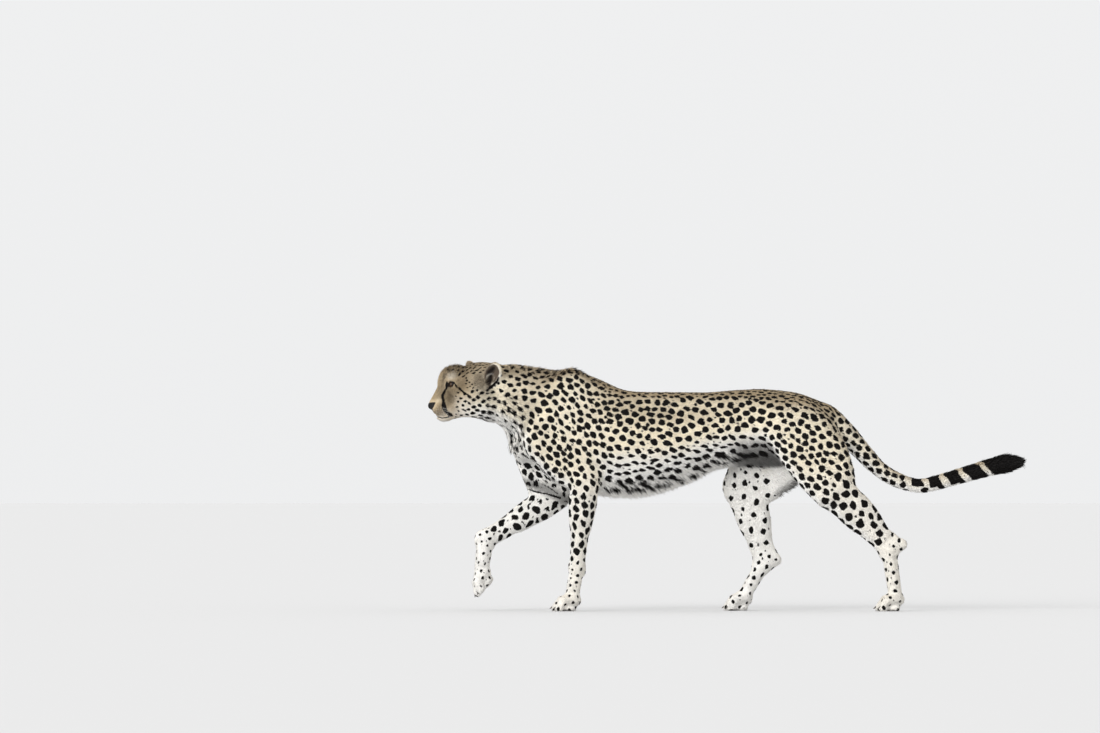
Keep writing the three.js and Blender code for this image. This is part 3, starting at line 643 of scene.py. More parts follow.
def scattered(tree, places, spacing, order):
    """Vertices that are at least their own spacing apart, tried in the given order."""
    free = np.ones(len(places), bool)
    chosen = []
    for n in order.tolist():
        if free[n]:
            chosen.append(n)
            free[within(tree, places[n], spacing[n])] = False
    return np.array(chosen)


def evened(tree, places, chosen, spacing, weight, rounds=9):
    """The chosen vertices moved to the middles of the patches nearest to each, so that gaps even out."""
    weight = weight / spacing**4
    for _ in range(rounds):
        owner = nearest(kd_tree(places[chosen]), places)
        total = np.bincount(owner, weight, len(chosen))
        middles = [np.bincount(owner, weight * places[:, i], len(chosen)) for i in range(3)]
        middles = np.stack(middles, 1) / np.maximum(total, 1e-12)[:, None]
        chosen = nearest(tree, middles)
    return np.unique(chosen)


def vertex_areas(skin):
    a, b, c = skin.corners()
    area = np.linalg.norm(np.cross(b - a, c - a), axis=1) / 6
    return sum(np.bincount(skin.triangles()[:, i], area, len(skin.places)) for i in range(3))


def spot_distances(skin, tree, centres, radius, length):
    """Signed distance in millimetres from each vertex to the nearest edge of the spots, which are ovals
    along the lie of the coat, no two alike, and no larger than their neighbours leave room for."""
    ink = np.full(len(skin.places), FAR)
    turn = RANDOM.normal(0, 0.22, len(centres))
    size = radius[centres] * np.clip(RANDOM.normal(1, 0.14, len(centres)), 0.6, 1.3)
    stretch = np.sqrt(length[centres] * np.clip(RANDOM.normal(1, 0.16, len(centres)), 0.7, 1.5))
    others = kd_tree(skin.places[centres])
    waves = RANDOM.uniform(0, 2 * np.pi, (len(centres), 3))
    depth = RANDOM.uniform(0.02, 0.09, (len(centres), 3))
    for n, centre in enumerate(centres.tolist()):
        reach = size[n] * stretch[n] * 1.3 + 9  # past its edge
        hits = within(tree, skin.places[centre], reach * MM)
        away = (skin.places[hits] - skin.places[centre]) / MM
        normal = skin.normal[centre]
        lie = skin.lie[centre]
        along = lie * math.cos(turn[n]) + np.cross(normal, lie) * math.sin(turn[n])
        across = np.cross(normal, along)
        axes = np.stack([along / stretch[n], across * stretch[n], 0.6 * normal], 1)
        near = [skin.places[centres[hit]] for _, hit, _ in others.find_n(skin.places[centre], 5)[1:]]
        room = np.linalg.norm((np.array(near) - skin.places[centre]) / MM @ axes, axis=1).min()
        flat = away @ axes
        angle = np.arctan2(flat[:, 1], flat[:, 0])
        waved = 1 + sum(depth[n, k] * np.cos((k + 2) * angle + waves[n, k]) for k in range(3))
        edge = min(size[n], REACH_SHARE * room) * waved
        ink[hits] = np.minimum(ink[hits], np.linalg.norm(flat, axis=1) - edge)
    return ink


def polyline_distance(places, points, widths):
    """Distance in a plane to a line through the points, less half its width, which changes along it."""
    best = np.full(len(places), FAR)
    for a, b, wide_a, wide_b in zip(points[:-1], points[1:], widths[:-1], widths[1:], strict=True):
        step = np.subtract(b, a)
        t = np.clip((places - a) @ step / (step @ step), 0, 1)
        gap = np.linalg.norm(places - a - t[:, None] * step, axis=1)
        best = np.minimum(best, gap - wide_a - t * (wide_b - wide_a))
    return best


# Lines of the face, in millimetres ahead of and above the middle of the head, with their half widths.
TEAR = {
    "points": [
        (70, 12), (76, 8), (80, -2), (84, -12), (84, -20),
        (82, -29), (82, -41), (81, -50), (75, -60), (64, -72),
    ],
    "widths": [3.4, 3.6, 4.0, 4.8, 4.2, 4.2, 7.4, 6.6, 5.0, 3.4],
}
STREAK = {
    "points": [
        (54, 26.5), (48, 20), (43, 13), (40, 11), (37, 9),
        (31, 2), (24, -4), (17, -8), (14, -9.5), (6, -17),
    ],
    "widths": [2.0, 2.4, 2.4, 0.4, 3.2, 2.4, 2.8, 0.8, 2.8, 3.8],
}
LIP_FOLD = {"points": [(70, -60), (62, -66), (55, -72)], "widths": [2.2, 2.8, 1.8]}
BROW_LINE = {
    "points": [(86, 30), (82, 38), (76, 48), (68, 56), (60, 62)],
    "widths": [-0.6, 0.6, 1.3, 0.2, 1.8],
}
INNER_CORNER = {"at": (73.0, 19.0), "size": (4.6, 12.0)}  # a dark patch before the eye, at its inner corner

# The dark edge of an ear, across it towards the rear and up it from its middle.
EAR_EDGE = {
    "points": [(22, 10), (21.5, -4), (17.5, -16), (12.5, -29), (7.5, -42)],
    "widths": [1.4, 3.0, 4.0, 4.6, 3.2],
}


def face_ink(head):
    """Signed distance to the lines and dark bare skin of the face."""
    side_view = head[:, 1:]
    lines = [polyline_distance(side_view, **line) for line in (TEAR, STREAK, LIP_FOLD, BROW_LINE)]
    away = (side_view - INNER_CORNER["at"]) / INNER_CORNER["size"]
    lines.append((np.linalg.norm(away, axis=1) - 1) * INNER_CORNER["size"][0])
    ink = np.where(np.abs(head[:, 0]) < 14, FAR, np.min(lines, axis=0))
    for side in EYES:
        edge, radius = eye_opening(side, head)
        rim = np.where(radius < BALL + 12, edge - 2.8, FAR)
        ink = np.minimum(ink, rim)
    lips = mouth_distance(head) - 1.6 - 1.2 * smoothstep(80, 60, head[:, 1])
    groove = philtrum_distance(head) - 0.8
    return np.min([ink, lips, nose_distance(head), groove], axis=0)


RINGS = 4  # on the tail before its black end


def tail_height(skin, places):
    """How far places on the tail lie above its middle."""
    tail = skin.places[skin.kind == "tail"]
    bins = np.round(tail[:, 1] / 0.02).astype(int)
    found = np.unique(bins)
    heights = [(tail[bins == n, 2].min() + tail[bins == n, 2].max()) / 2 for n in found]
    return places[:, 2] - np.interp(places[:, 1], found * 0.02, heights)


def tail_ink(places, height):
    """Signed distance to the tail's rings, which are saddles that lean back over a blot below, and to its
    black end."""
    lean = 0.25 + 0.65 * smoothstep(0.60, 0.75, places[:, 1])
    leant = places[:, 1] + lean * height + 0.003 * np.sin(places[:, 0] * 240 + places[:, 1] * 90)
    ink = np.full(len(places), FAR)
    for n in range(RINGS):
        mid = 0.58 + 0.05 * n + 0.0023 * n * n
        ring = (np.abs(leant - mid) - 0.0175 - 0.0018 * n) / MM
        above = (-height - 0.004 - 0.007 * n) / MM
        blot = np.hypot(leant - mid - 0.018 + 0.005 * n, height + 0.016) / MM - 9.5
        ink = np.minimum(ink, np.minimum(np.maximum(ring, above), blot))
    return np.minimum(ink, (0.79 - leant) / MM)


# Where small dots cross the temple: ahead and up, with half the width of their band.
TEMPLE_ROW = {"points": [(42, 68), (24, 46), (14, 28), (2, 8), (-14, -8)], "widths": [8, 9, 9, 9, 10]}


def face_cover(head):
    """How much of the face, from 0 to 1, has dots."""
    ahead, up = head[:, 1], head[:, 2]
    cheek = smoothstep(56, 46, ahead) * smoothstep(4, -4, up)
    row = polyline_distance(head[:, 1:], **TEMPLE_ROW)
    temple = np.maximum(smoothstep(2, -2, row), smoothstep(-46, -56, ahead))
    temple = np.maximum(temple, smoothstep(20, 8, ahead) * smoothstep(0, -10, up))
    crown = smoothstep(50, 56, up) * smoothstep(74, 54, ahead)
    return np.max([cheek, temple, crown], axis=0)


def between_thighs(skin):
    """1 on the white skin low between the hind legs."""
    low = smoothstep(0.50, 0.45, skin.places[:, 2]) * smoothstep(0.09, 0.15, skin.places[:, 1])
    return low * (skin.kind == "trunk")


def spot_layout(skin):
    """Spacing, radius and length of spots at each vertex."""
    spacing = skin.per_kind(SPACING, 14)
    radius = skin.per_kind(RADIUS, 10)
    length = skin.per_kind(LENGTH, 14)
    up = skin.normal[:, 2]
    body = np.isin(skin.kind, ("trunk", "thigh")) + 0.4 * (skin.kind == "neck")
    ridge = smoothstep(0.3, 0.75, up) * body
    spacing = spacing * (1 - 0.27 * ridge)
    rump = smoothstep(0.05, 0.2, skin.places[:, 1]) * (skin.kind == "trunk")
    radius = radius * (1 + 0.16 * ridge + 0.16 * rump)
    length = length * (1 + 0.35 * ridge)
    low = smoothstep(0.05, -0.45, up) * (skin.kind == "trunk") * smoothstep(-0.42, -0.28, skin.places[:, 1])
    under = smoothstep(-0.5, -0.8, up) * (skin.kind == "trunk")
    length = length * (1 + 0.75 * low * (1 - under))
    radius = radius * (1 - 0.2 * low) * (1 + 0.6 * under)
    spacing = spacing * (1 + 0.25 * under)
    throat = smoothstep(-0.1, -0.6, up) * (skin.kind == "neck")
    chest = smoothstep(0.3, 0.8, -skin.normal[:, 1]) * (skin.kind == "trunk") * (skin.places[:, 1] < -0.4)
    length = length * (1 + 0.25 * throat)
    radius = radius * (1 - 0.22 * np.maximum(throat, chest))
    hind = np.isin(skin.kind, ("thigh", "lower"))
    inner = smoothstep(0.0, 0.5, -np.sign(skin.places[:, 0]) * skin.normal[:, 0]) * hind
    inner = skin.spread.smooth(inner, 8)
    radius = radius * (1 - 0.34 * inner)
    spacing = spacing * (1 + 0.3 * inner)
    head = in_head(skin.places)
    on_head = skin.kind == "head"
    cheek = smoothstep(52, 8, head[:, 1]) * smoothstep(14, -12, head[:, 2]) * on_head
    crown = smoothstep(34, 54, head[:, 2]) * on_head
    radius = radius + 4.6 * cheek + 1.5 * crown
    spacing = spacing + 7.5 * cheek + 2.6 * crown
    length = length * (1 + 0.45 * crown)
    return spacing, radius, length


# How far apart spots stand, as shares of the spacing: the first tries, the spots once evened out, and the
# small ones between them, of which only a share is kept.
FIRST_APART, APART, SMALL_APART = 0.8, 0.74, 0.62
SMALL_SHARE = 0.35


def paint_spots(skin):
    tree = skin.tree
    spacing, radius, length = spot_layout(skin)
    head = in_head(skin.places)
    on_face = skin.kind == "head"
    allowed = (skin.kind != "ear") & ~(on_face & (face_cover(head) < 0.5))
    allowed &= ~((skin.kind == "tail") & (skin.places[:, 1] > 0.55))
    hollow = np.max([Ear(skin, side).inside(skin) for side in EYES], axis=0)
    allowed &= hollow < 0.3
    bare_under = (skin.kind == "trunk") & (skin.normal[:, 2] < -0.85)
    bare_under |= between_thighs(skin) > 0.5
    allowed &= ~bare_under
    order = RANDOM.permutation(np.flatnonzero(allowed))
    chosen = scattered(tree, skin.places, spacing * FIRST_APART * MM, order)
    chosen = evened(tree, skin.places, chosen, spacing, vertex_areas(skin) * np.where(allowed, 1, 0.05))
    chosen = chosen[allowed[chosen]]
    places = skin.places[chosen]
    apart = scattered(kd_tree(places), places, spacing[chosen] * APART * MM, np.arange(len(chosen)))
    chosen = chosen[apart]
    ink = spot_distances(skin, tree, chosen, radius, length)
    smooth_coat = ~on_face & (skin.normal[:, 2] > -0.5)
    between = np.flatnonzero(allowed & smooth_coat & (ink > 0.24 * spacing))
    small = scattered(tree, skin.places, spacing * SMALL_APART * MM, RANDOM.permutation(between))
    small = small[RANDOM.random(len(small)) < SMALL_SHARE]
    tiny = np.clip(RANDOM.gamma(4.0, 0.55, len(skin.places)), 1.0, 4.6) * radius / 9
    return np.minimum(ink, spot_distances(skin, tree, small, tiny, np.full(len(skin.places), 1.2)))


def ear_ink(skin, ink):
    """No spots in the ears' hollows, a dark edge at their lower rear, and their backs dark low down."""
    for side in EYES:
        ear = Ear(skin, side)
        inside = ear.inside(skin)
        ink = np.maximum(ink, 24 * inside - 14)
        edge = polyline_distance(np.stack([ear.across, ear.up], 1), **EAR_EDGE)
        ink = np.where(np.abs(ear.out) < 26, np.minimum(ink, edge), ink)
        back = skin.normal @ -ear.axes[2]
        patch = 9 * (0.15 - back) + 0.28 * np.abs(ear.up + 14) - 6.5 + 40 * inside
        ink = np.where(ear.mine, np.minimum(ink, patch), ink)
    return ink


# Inside the right elbow, seen from the left, in millimetres along and up: two folds and the blots below.
ELBOW_FOLDS = (
    {"points": [(-592, 366), (-562, 356), (-530, 350), (-492, 338)], "widths": [0.6, 2.4, 2.0, 3.0]},
    {"points": [(-548, 382), (-520, 366), (-497, 350)], "widths": [0.2, 1.4, 1.0]},
    {"points": [(-568, 306), (-562, 303), (-559, 297)], "widths": [8.5, 10.5, 7.0]},
    {"points": [(-536, 284), (-539, 280), (-537, 274)], "widths": [8.0, 10.5, 8.0]},
    {"points": [(-626, 256), (-621, 252), (-615, 250)], "widths": [8.0, 11.0, 7.5]},
    {"points": [(-484, 312), (-481, 307), (-483, 303)], "widths": [6.5, 8.5, 6.0]},
)


def inner_elbow(skin):
    """Which vertices lie on the inner side of the right foreleg."""
    foreleg = np.isin(skin.kind, ("upper", "forearm")) & (skin.places[:, 0] < 0)
    return foreleg & (skin.normal[:, 0] > 0.1)


def elbow_ink(skin, ink):
    mine = inner_elbow(skin)
    side_view = skin.places[mine][:, 1:] / MM
    folds = np.min([polyline_distance(side_view, **fold) for fold in ELBOW_FOLDS], axis=0)
    ink[mine] = np.minimum(np.where(folds < 9, np.maximum(ink[mine], folds), ink[mine]), folds)
    return ink


def paint(skin):
    ink = paint_spots(skin)
    head = in_head(skin.places)
    on_face = on_front(head) & (head[:, 1] > 0)
    ink[on_face] = np.minimum(ink[on_face], face_ink(head[on_face]))
    on_tail = (skin.kind == "tail") & (skin.places[:, 1] > 0.5)
    tail = skin.places[on_tail]
    ink[on_tail] = np.minimum(ink[on_tail], tail_ink(tail, tail_height(skin, tail)))
    return elbow_ink(skin, ear_ink(skin, ink))


# ---------------------------------------------------------------- the ground colour


def linear(*srgb):
    c = np.array(srgb) / 255
    return np.where(c <= 0.04045, c / 12.92, ((c + 0.055) / 1.055) ** 2.4)


BACK = linear(152, 129, 94)
FLANK = linear(249, 238, 213)
PALE = linear(250, 244, 231)
WHITE = linear(252, 250, 246)
FACE = linear(184, 163, 129)
DUSK = linear(124, 107, 84)
INK = linear(12, 9, 8)
# Ear hollows: the hair's own dusky colour darkened by painted shade, and painted shadow at the deepest.
EAR_INSIDE = linear(104, 92, 80)
EAR_DEEP_SHADOW = linear(34, 28, 25)

# How pale each kind of part is, from 0, as the flank, to 1, white.
PALENESS = {
    "head": 0.1, "ear": 0.1, "neck": 0.15, "trunk": 0.05, "tail": 0.25, "upper": 0.2, "forearm": 0.62,
    "forepaw": 0.7, "thigh": 0.12, "lower": 0.45, "hind": 0.6,
}
LIMBS = ("upper", "forearm", "forepaw", "thigh", "lower", "hind")


def blob(head, at, size):
    """1 at a place on the head (either side), falling to 0 over about its size in millimetres."""
    return np.exp(-np.sum(((folded(head) - at) / size) ** 2, axis=1))


def face_tone(head, tone):
    """The face: dusky crown, temple and cheek, pale over the eye, along the bridge and at the back of the
    cheek, and a white chin."""
    tone = tone + 0.85 * smoothstep(-30, 30, head[:, 1])[:, None] * (FACE - tone)
    for at, size, colour, share in (
        ((0, 60, 70), (36, 66, 28), DUSK, 0.95),  # crown and forehead
        ((42, 30, 34), (26, 26, 24), DUSK, 0.6),  # temple
        ((60, -24, 30), (36, 30, 36), DUSK, 0.8),  # before the ear
        ((34, 62, 44), (16, 13, 8), PALE, 0.6),  # over the eye
        ((34, 68, -12), (20, 14, 19), DUSK, 0.7),  # under it
        ((30, 54, -34), (30, 14, 22), DUSK, 0.35),  # cheek
        ((0, 98, 6), (26, 18, 38), DUSK, 0.45),  # bridge of the nose
        ((16, 96, -27), (14, 7, 7), FLANK, 0.5),  # beside it
        ((20, 98, -58), (20, 15, 16), DUSK, 0.75),  # whisker pad
        ((20, 94, -76), (22, 14, 5), PALE, 0.6),  # upper lip
        ((10, 88, -92), (26, 34, 10), WHITE, 0.9),  # chin
        ((44, 24, -40), (40, 26, 26), PALE, 0.85),  # back of the cheek
        ((40, 10, -70), (40, 44, 18), WHITE, 0.7),  # jaw
    ):
        weight = share * blob(head, at, size)[:, None]
        tone = tone + np.minimum(weight, 1) * (colour - tone)
    return tone


def white_under(skin):
    """How white the coat is, from the way each place faces and how far down the animal it is."""
    down = smoothed_down(skin)
    pale = skin.per_kind(PALENESS, 60)
    pale = np.maximum(pale, smoothstep(-0.1, 0.55, down))
    limb = np.isin(skin.kind, LIMBS)
    inward = -np.sign(skin.places[:, 0]) * skin.normal[:, 0]
    pale = np.maximum(pale, 0.97 * smoothstep(-0.15, 0.35, inward) * limb)
    chest = smoothstep(0.25, 0.8, -skin.normal[:, 1]) * smoothstep(0.60, 0.50, skin.places[:, 2])
    pale = np.maximum(pale, 0.9 * chest * (skin.places[:, 1] < -0.4))
    low = smoothstep(0.50, 0.30, skin.places[:, 2])
    return np.max([pale, 0.72 * low, between_thighs(skin)], axis=0)


def painted_groin_shadow(skin):
    """How much painted shadow darkens the coat between the hind legs, under the fold of the flank."""
    x, y, z = skin.places.T
    under = smoothstep(0.25, 0.75, -skin.normal[:, 2]) * (skin.kind == "trunk")
    inner = smoothstep(0.425, 0.46, z) * smoothstep(0.2, 0.6, -np.sign(x) * skin.normal[:, 0])
    inner = inner * (skin.kind == "thigh")
    along = smoothstep(-0.02, 0.05, y) * smoothstep(0.34, 0.24, y)
    return skin.spread.smooth(np.maximum(under, inner) * along, 4)


def painted_elbow_shadow(skin):
    """How much painted shadow darkens the coat inside the right elbow."""
    band = polyline_distance(skin.places[:, 1:] / MM, [(-604, 392), (-545, 372), (-480, 338)], [10, 14, 16])
    return skin.spread.smooth(smoothstep(5, -5, band) * inner_elbow(skin), 3)


def smoothed_down(skin):
    return skin.spread.smooth(-skin.normal[:, 2], 12)


def ground_tone(skin):
    """The colour of the coat between its markings, with painted shadows in the groin and the right elbow.
    """
    white = skin.spread.smooth(white_under(skin), 14)[:, None]
    up = smoothstep(0.08, 0.85, -smoothed_down(skin))[:, None] * (1 - white)
    tone = FLANK + np.clip(2 * white, 0, 1) * (PALE - FLANK)
    tone = tone + np.clip(2 * white - 1, 0, 1) * (WHITE - PALE)
    tone = tone + 0.85 * up * (BACK - tone)
    # painted shadows darken the coat under the flank's fold and inside the right elbow
    tone = tone * (1 - 0.8 * painted_groin_shadow(skin) - 0.6 * painted_elbow_shadow(skin))[:, None]
    head = in_head(skin.places)
    facial = smoothstep(-76, -40, head[:, 1]) * (skin.kind == "head")
    facial = skin.spread.smooth(facial.astype(float), 10)[:, None]
    tone = tone + facial * (face_tone(head, tone) - tone)
    return skin.spread.smooth(ear_tone(skin, tone), 1)


# The line down an ear's hollow where its painted shadow is darkest, across and up, with half widths.
EAR_SHADOW_CORE = {"points": [(-4, 24), (-9, 8), (-5, -8), (-2, -24)], "widths": [2.0, 4.0, 4.0, 3.0]}


def ear_tone(skin, tone):
    """The ears have a pale rim and a dusky hollow under painted shadow, darkest down its middle."""
    for side in EYES:
        ear = Ear(skin, side)
        rear = ear.across + 0.3 * ear.up
        rim = 0.8 * ear.mine * smoothstep(5.0, 1.5, ear.depth) * smoothstep(-14, 6, rear)
        tone = tone + rim[:, None] * (PALE - tone)
        front = 0.85 * ear.mine * smoothstep(6, -10, rear)
        tone = tone + front[:, None] * (DUSK - tone)
        # painted shadow over the hollow's own dusky colour, darkest along its middle
        core = polyline_distance(np.stack([ear.across, ear.up], 1), **EAR_SHADOW_CORE)
        hollow = EAR_INSIDE + smoothstep(9, -1, core)[:, None] * (EAR_DEEP_SHADOW - EAR_INSIDE)
        tone = tone + ear.inside(skin)[:, None] * (hollow - tone)
    return tone
# ---------------------------------------------------------------- materials


class Nodes:
    """Short ways to build a material's nodes."""

    def __init__(self, name):
        self.material = bpy.data.materials.new(name)
        self.material.use_nodes = True
        self.tree = self.material.node_tree

    def put(self, socket, value):
        """A number, a colour or another node's output into a socket."""
        if isinstance(value, bpy.types.NodeSocket):
            self.tree.links.new(value, socket)
        else:
            socket.default_value = value

    def add(self, kind, inputs, **settings):
        """A node with its settings, and its inputs by name or number."""
        node = self.tree.nodes.new("ShaderNode" + kind)
        for name, value in settings.items():
            setattr(node, name, value)
        for name, value in inputs.items():
            self.put(node.inputs[name], value)
        return node

    def attribute(self, name, output="Fac"):
        return self.add("Attribute", {}, attribute_name=name).outputs[output]

    def place(self):
        return self.add("TexCoord", {}).outputs["Object"]

    def noise(self, scale, detail=3, roughness=0.55, where=None):
        inputs = {"Vector": where or self.place(), "Scale": scale, "Detail": detail, "Roughness": roughness}
        return self.add("TexNoise", inputs).outputs["Fac"]

    def cells(self, scale):
        return self.add("TexVoronoi", {"Vector": self.place(), "Scale": scale}).outputs["Distance"]

    def math(self, operation, a, b=0.0):
        return self.add("Math", {0: a, 1: b}, operation=operation).outputs[0]

    def ramp(self, value, low, high, to_low=0.0, to_high=1.0):
        inputs = {"Value": value, "From Min": low, "From Max": high, "To Min": to_low, "To Max": to_high}
        return self.add("MapRange", inputs, interpolation_type="SMOOTHSTEP").outputs["Result"]

    def mix(self, share, a, b, blend="MIX"):
        inputs = {"Factor": share, 6: a, 7: b}
        return self.add("Mix", inputs, data_type="RGBA", blend_type=blend).outputs[2]

    def bump(self, height, strength, distance, **onto):
        inputs = {"Height": height, "Strength": strength, "Distance": distance, **onto}
        return self.add("Bump", inputs).outputs["Normal"]

    def surface(self, colour, roughness, constants, normal=None):
        """The finished material, with constants for the shader's other sockets."""
        sockets = self.tree.nodes["Principled BSDF"].inputs
        self.put(sockets["Base Color"], colour)
        self.put(sockets["Roughness"], roughness)
        if normal is not None:
            self.put(sockets["Normal"], normal)
        for name, value in constants.items():
            sockets[name].default_value = value
        return self.material


def rgba(colour):
    return (*(float(c) for c in colour), 1.0)


def skin_material():
    """Short hair over skin, with the markings' edges ragged, and bare leather on nose, lips and lids."""
    nodes = Nodes("skin")
    bare = nodes.attribute("bare")
    ragged = nodes.math("MULTIPLY", nodes.math("SUBTRACT", nodes.noise(420, 4), 0.5), 2.0)
    edge = nodes.math("ADD", nodes.attribute("ink"), ragged)
    inked = nodes.ramp(edge, 0.6, -0.6)
    hairs = nodes.ramp(nodes.noise(900, 3), 0.3, 0.7, 0.82, 1.08)
    patches = nodes.ramp(nodes.noise(38, 3), 0.3, 0.7, 0.93, 1.05)
    shade = nodes.math("MULTIPLY", hairs, patches)
    ground = nodes.mix(1.0, nodes.attribute("coat", "Color"), shade, "MULTIPLY")
    colour = nodes.mix(inked, ground, rgba(INK))
    leather = nodes.mix(nodes.noise(160, 3), rgba(linear(6, 5, 5)), rgba(linear(17, 14, 13)))
    rough = nodes.ramp(nodes.noise(700, 2), 0.2, 0.8, 0.68, 0.86)
    rough = nodes.math("SUBTRACT", rough, nodes.math("MULTIPLY", bare, 0.24))
    fur = nodes.bump(nodes.noise(1100, 4, 0.7), 0.5, 0.0007)
    pebbles = nodes.bump(nodes.cells(1300), nodes.math("MULTIPLY", bare, 0.55), 0.0005, Normal=fur)
    constants = {"Sheen Weight": 0.04, "Sheen Roughness": 0.5, "Specular IOR Level": 0.2}
    return nodes.surface(nodes.mix(bare, colour, leather), rough, constants, pebbles)


def attribute(piece, name, kind, field, values):
    """Values for a piece's vertices, which its material reads."""
    layer = piece.data.attributes.new(name, kind, "POINT")
    layer.data.foreach_set(field, np.asarray(values, np.float32).ravel())


def colour_attribute(piece, name, colours):
    opaque = np.concatenate([colours, np.ones((len(colours), 1))], 1)
    attribute(piece, name, "FLOAT_COLOR", "color", opaque)


def number_attribute(piece, name, values):
    attribute(piece, name, "FLOAT", "value", values)


def bare_skin(skin):
    """1 on the nose leather, the eyes' rims and the lips, 0 in the coat."""
    head = in_head(skin.places)
    bare = smoothstep(0.8, -0.8, nose_distance(head)) * (head[:, 1] > 40)
    for side in EYES:
        edge, radius = eye_opening(side, head)
        bare = np.maximum(bare, smoothstep(1.7, 0.9, edge) * (radius < BALL + 5))
    lips = smoothstep(1.3, 0.5, mouth_distance(head)) * (head[:, 1] > 40)
    return np.maximum(bare, lips)


skin = make_skin()
shape_face(skin)
shape_ears(skin)
skin.normal = skin.normals()
skin.lie = lie_of_coat(skin, skin.normal)
skin.tree = kd_tree(skin.places)
skin.ink = paint(skin)
skin.tone = ground_tone(skin)
skin.bare = bare_skin(skin)
skin_piece = new_object("skin", skin.places, skin.triangles())
number_attribute(skin_piece, "ink", skin.ink)
number_attribute(skin_piece, "bare", skin.bare)
colour_attribute(skin_piece, "coat", skin.tone)
skin_piece.data.materials.append(skin_material())
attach(skin_piece, "root")
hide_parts(*FLESH)

# ---------------------------------------------------------------- the coat

# By kind of part, in millimetres: how long a tuft is, how wide, and its square millimetres of skin.
HAIR_LENGTH = {
    "head": 6, "ear": 6, "neck": 10, "trunk": 9.5, "tail": 12, "upper": 9.5, "forearm": 8.5,
    "forepaw": 6, "thigh": 10.5, "lower": 9, "hind": 6.5,
}
HAIR_WIDTH = {
    "head": 1.3, "ear": 1.1, "neck": 2.0, "trunk": 2.25, "tail": 2.4, "upper": 2.2, "forearm": 2.0,
    "forepaw": 1.5, "thigh": 2.5, "lower": 2.1, "hind": 1.5,
}
HAIR_ROOM = {
    "head": 2.5, "ear": 2.5, "neck": 5.2, "trunk": 6.3, "tail": 6.0, "upper": 6.0, "forearm": 4.8,
    "forepaw": 3.2, "thigh": 7.2, "lower": 5.0, "hind": 3.2,
}
NO_TUFTS = 1e9  # square millimetres for each tuft where none grow
LOCK_FROM = 17.0  # a tuft longer than this bends, as a lock of two lengths


# How many millimetres longer the hair is in the shaggy places, and by how many degrees it stands up there.
LONGER = {
    "belly": 18, "groin": 14, "crest": 9, "ruff": 12, "nape": 9, "chest": 6, "tail": 12, "breeches": 4,
    "forehead": 6,
}
STANDING = {"crest": 18, "nape": 18, "forehead": 28, "belly": 24, "ruff": 9, "chest": 5}


def shaggy_places(skin):
    """For each vertex, how far it belongs to each of the shaggy places, from 0 to 1."""
    _, y, z = skin.places.T
    up = skin.normal[:, 2]
    trunk, neck, head = (skin.kind == k for k in ("trunk", "neck", "head"))
    mine = in_head(skin.places)
    belly = belly_of(skin, skin.normal)
    groin = smoothstep(-0.3, -0.8, up) * bump_at(y, 0.12, 0.20) * trunk
    crest = smoothstep(0.55, 0.9, up) * bump_at(y, -0.56, 0.26) * (trunk | neck)
    ruff = smoothstep(-8, -44, mine[:, 1]) * smoothstep(10, -50, mine[:, 2]) * (head | neck)
    ruff = ruff * smoothstep(-0.54, -0.62, y)
    forehead = bump_at(mine[:, 1], 62, 46) * smoothstep(0.1, 0.5, up - skin.normal[:, 1]) * head
    nape = bump_at(mine[:, 1], -28, 34) * bump_at(mine[:, 2], 12, 44) * (head | neck)
    chest = smoothstep(-0.2, -0.8, skin.normal[:, 1]) * (z < 0.56) * (y < -0.5) * (trunk | neck)
    tail = (skin.kind == "tail") * smoothstep(0.60, 0.84, y)
    breeches = smoothstep(0.35, 0.9, skin.normal[:, 1]) * np.isin(skin.kind, ("thigh", "upper"))
    return {
        "belly": belly, "groin": groin, "crest": crest, "ruff": ruff, "nape": nape, "chest": chest,
        "tail": tail, "breeches": breeches, "forehead": forehead,
    }


def shaggy(skin):
    """For each vertex, how far the hair outgrows the usual length, in millimetres, the way that such long
    hair hangs, and how many degrees further it stands up."""
    where = shaggy_places(skin)
    extra = sum(more * where[name] for name, more in LONGER.items())
    standing = sum(more * where[name] for name, more in STANDING.items())
    hang = np.zeros_like(skin.places) + (0, 0.55, -0.85)
    share = np.clip(where["belly"] + 0.6 * where["groin"] + 0.5 * where["ruff"], 0, 1)
    return extra, skin.lie + (0.8 * share)[:, None] * (hang - skin.lie), standing


def grizzled(skin):
    """How much dark hair is strewn among the pale: most on the crown, the forehead and the muzzle."""
    head = in_head(skin.places)
    crown = smoothstep(34, 60, head[:, 2]) * smoothstep(-60, 0, head[:, 1])
    front = smoothstep(60, 84, head[:, 1]) * smoothstep(-30, 10, head[:, 2])
    muzzle = bump_at(head[:, 1], 96, 34) * bump_at(head[:, 2], -58, 26)
    before_ear = bump_at(head[:, 1], -22, 40) * bump_at(head[:, 2], 30, 44)
    under_eye = bump_at(head[:, 1], 66, 34) * bump_at(head[:, 2], -16, 42)
    patches = [crown, 0.5 * front, 0.8 * muzzle, 0.6 * before_ear, 0.7 * under_eye]
    return np.max(patches, axis=0) * (skin.kind == "head")


def clear_of_face(skin):
    """From 0, on bare skin, to 1, in the full coat."""
    head = in_head(skin.places)
    clear = np.ones(len(skin.places))
    ahead = head[:, 1] > 30
    for side in EYES:
        edge, radius = eye_opening(side, head)
        near = radius < BALL + 14
        clear = np.where(near & ahead, np.minimum(clear, smoothstep(1.6, 11.0, edge)), clear)
    nose = smoothstep(0.5, 16, nose_distance(head))
    lips = smoothstep(0.8, 10, mouth_distance(head))
    return np.where(ahead, np.minimum(clear, np.minimum(nose, lips)), clear)


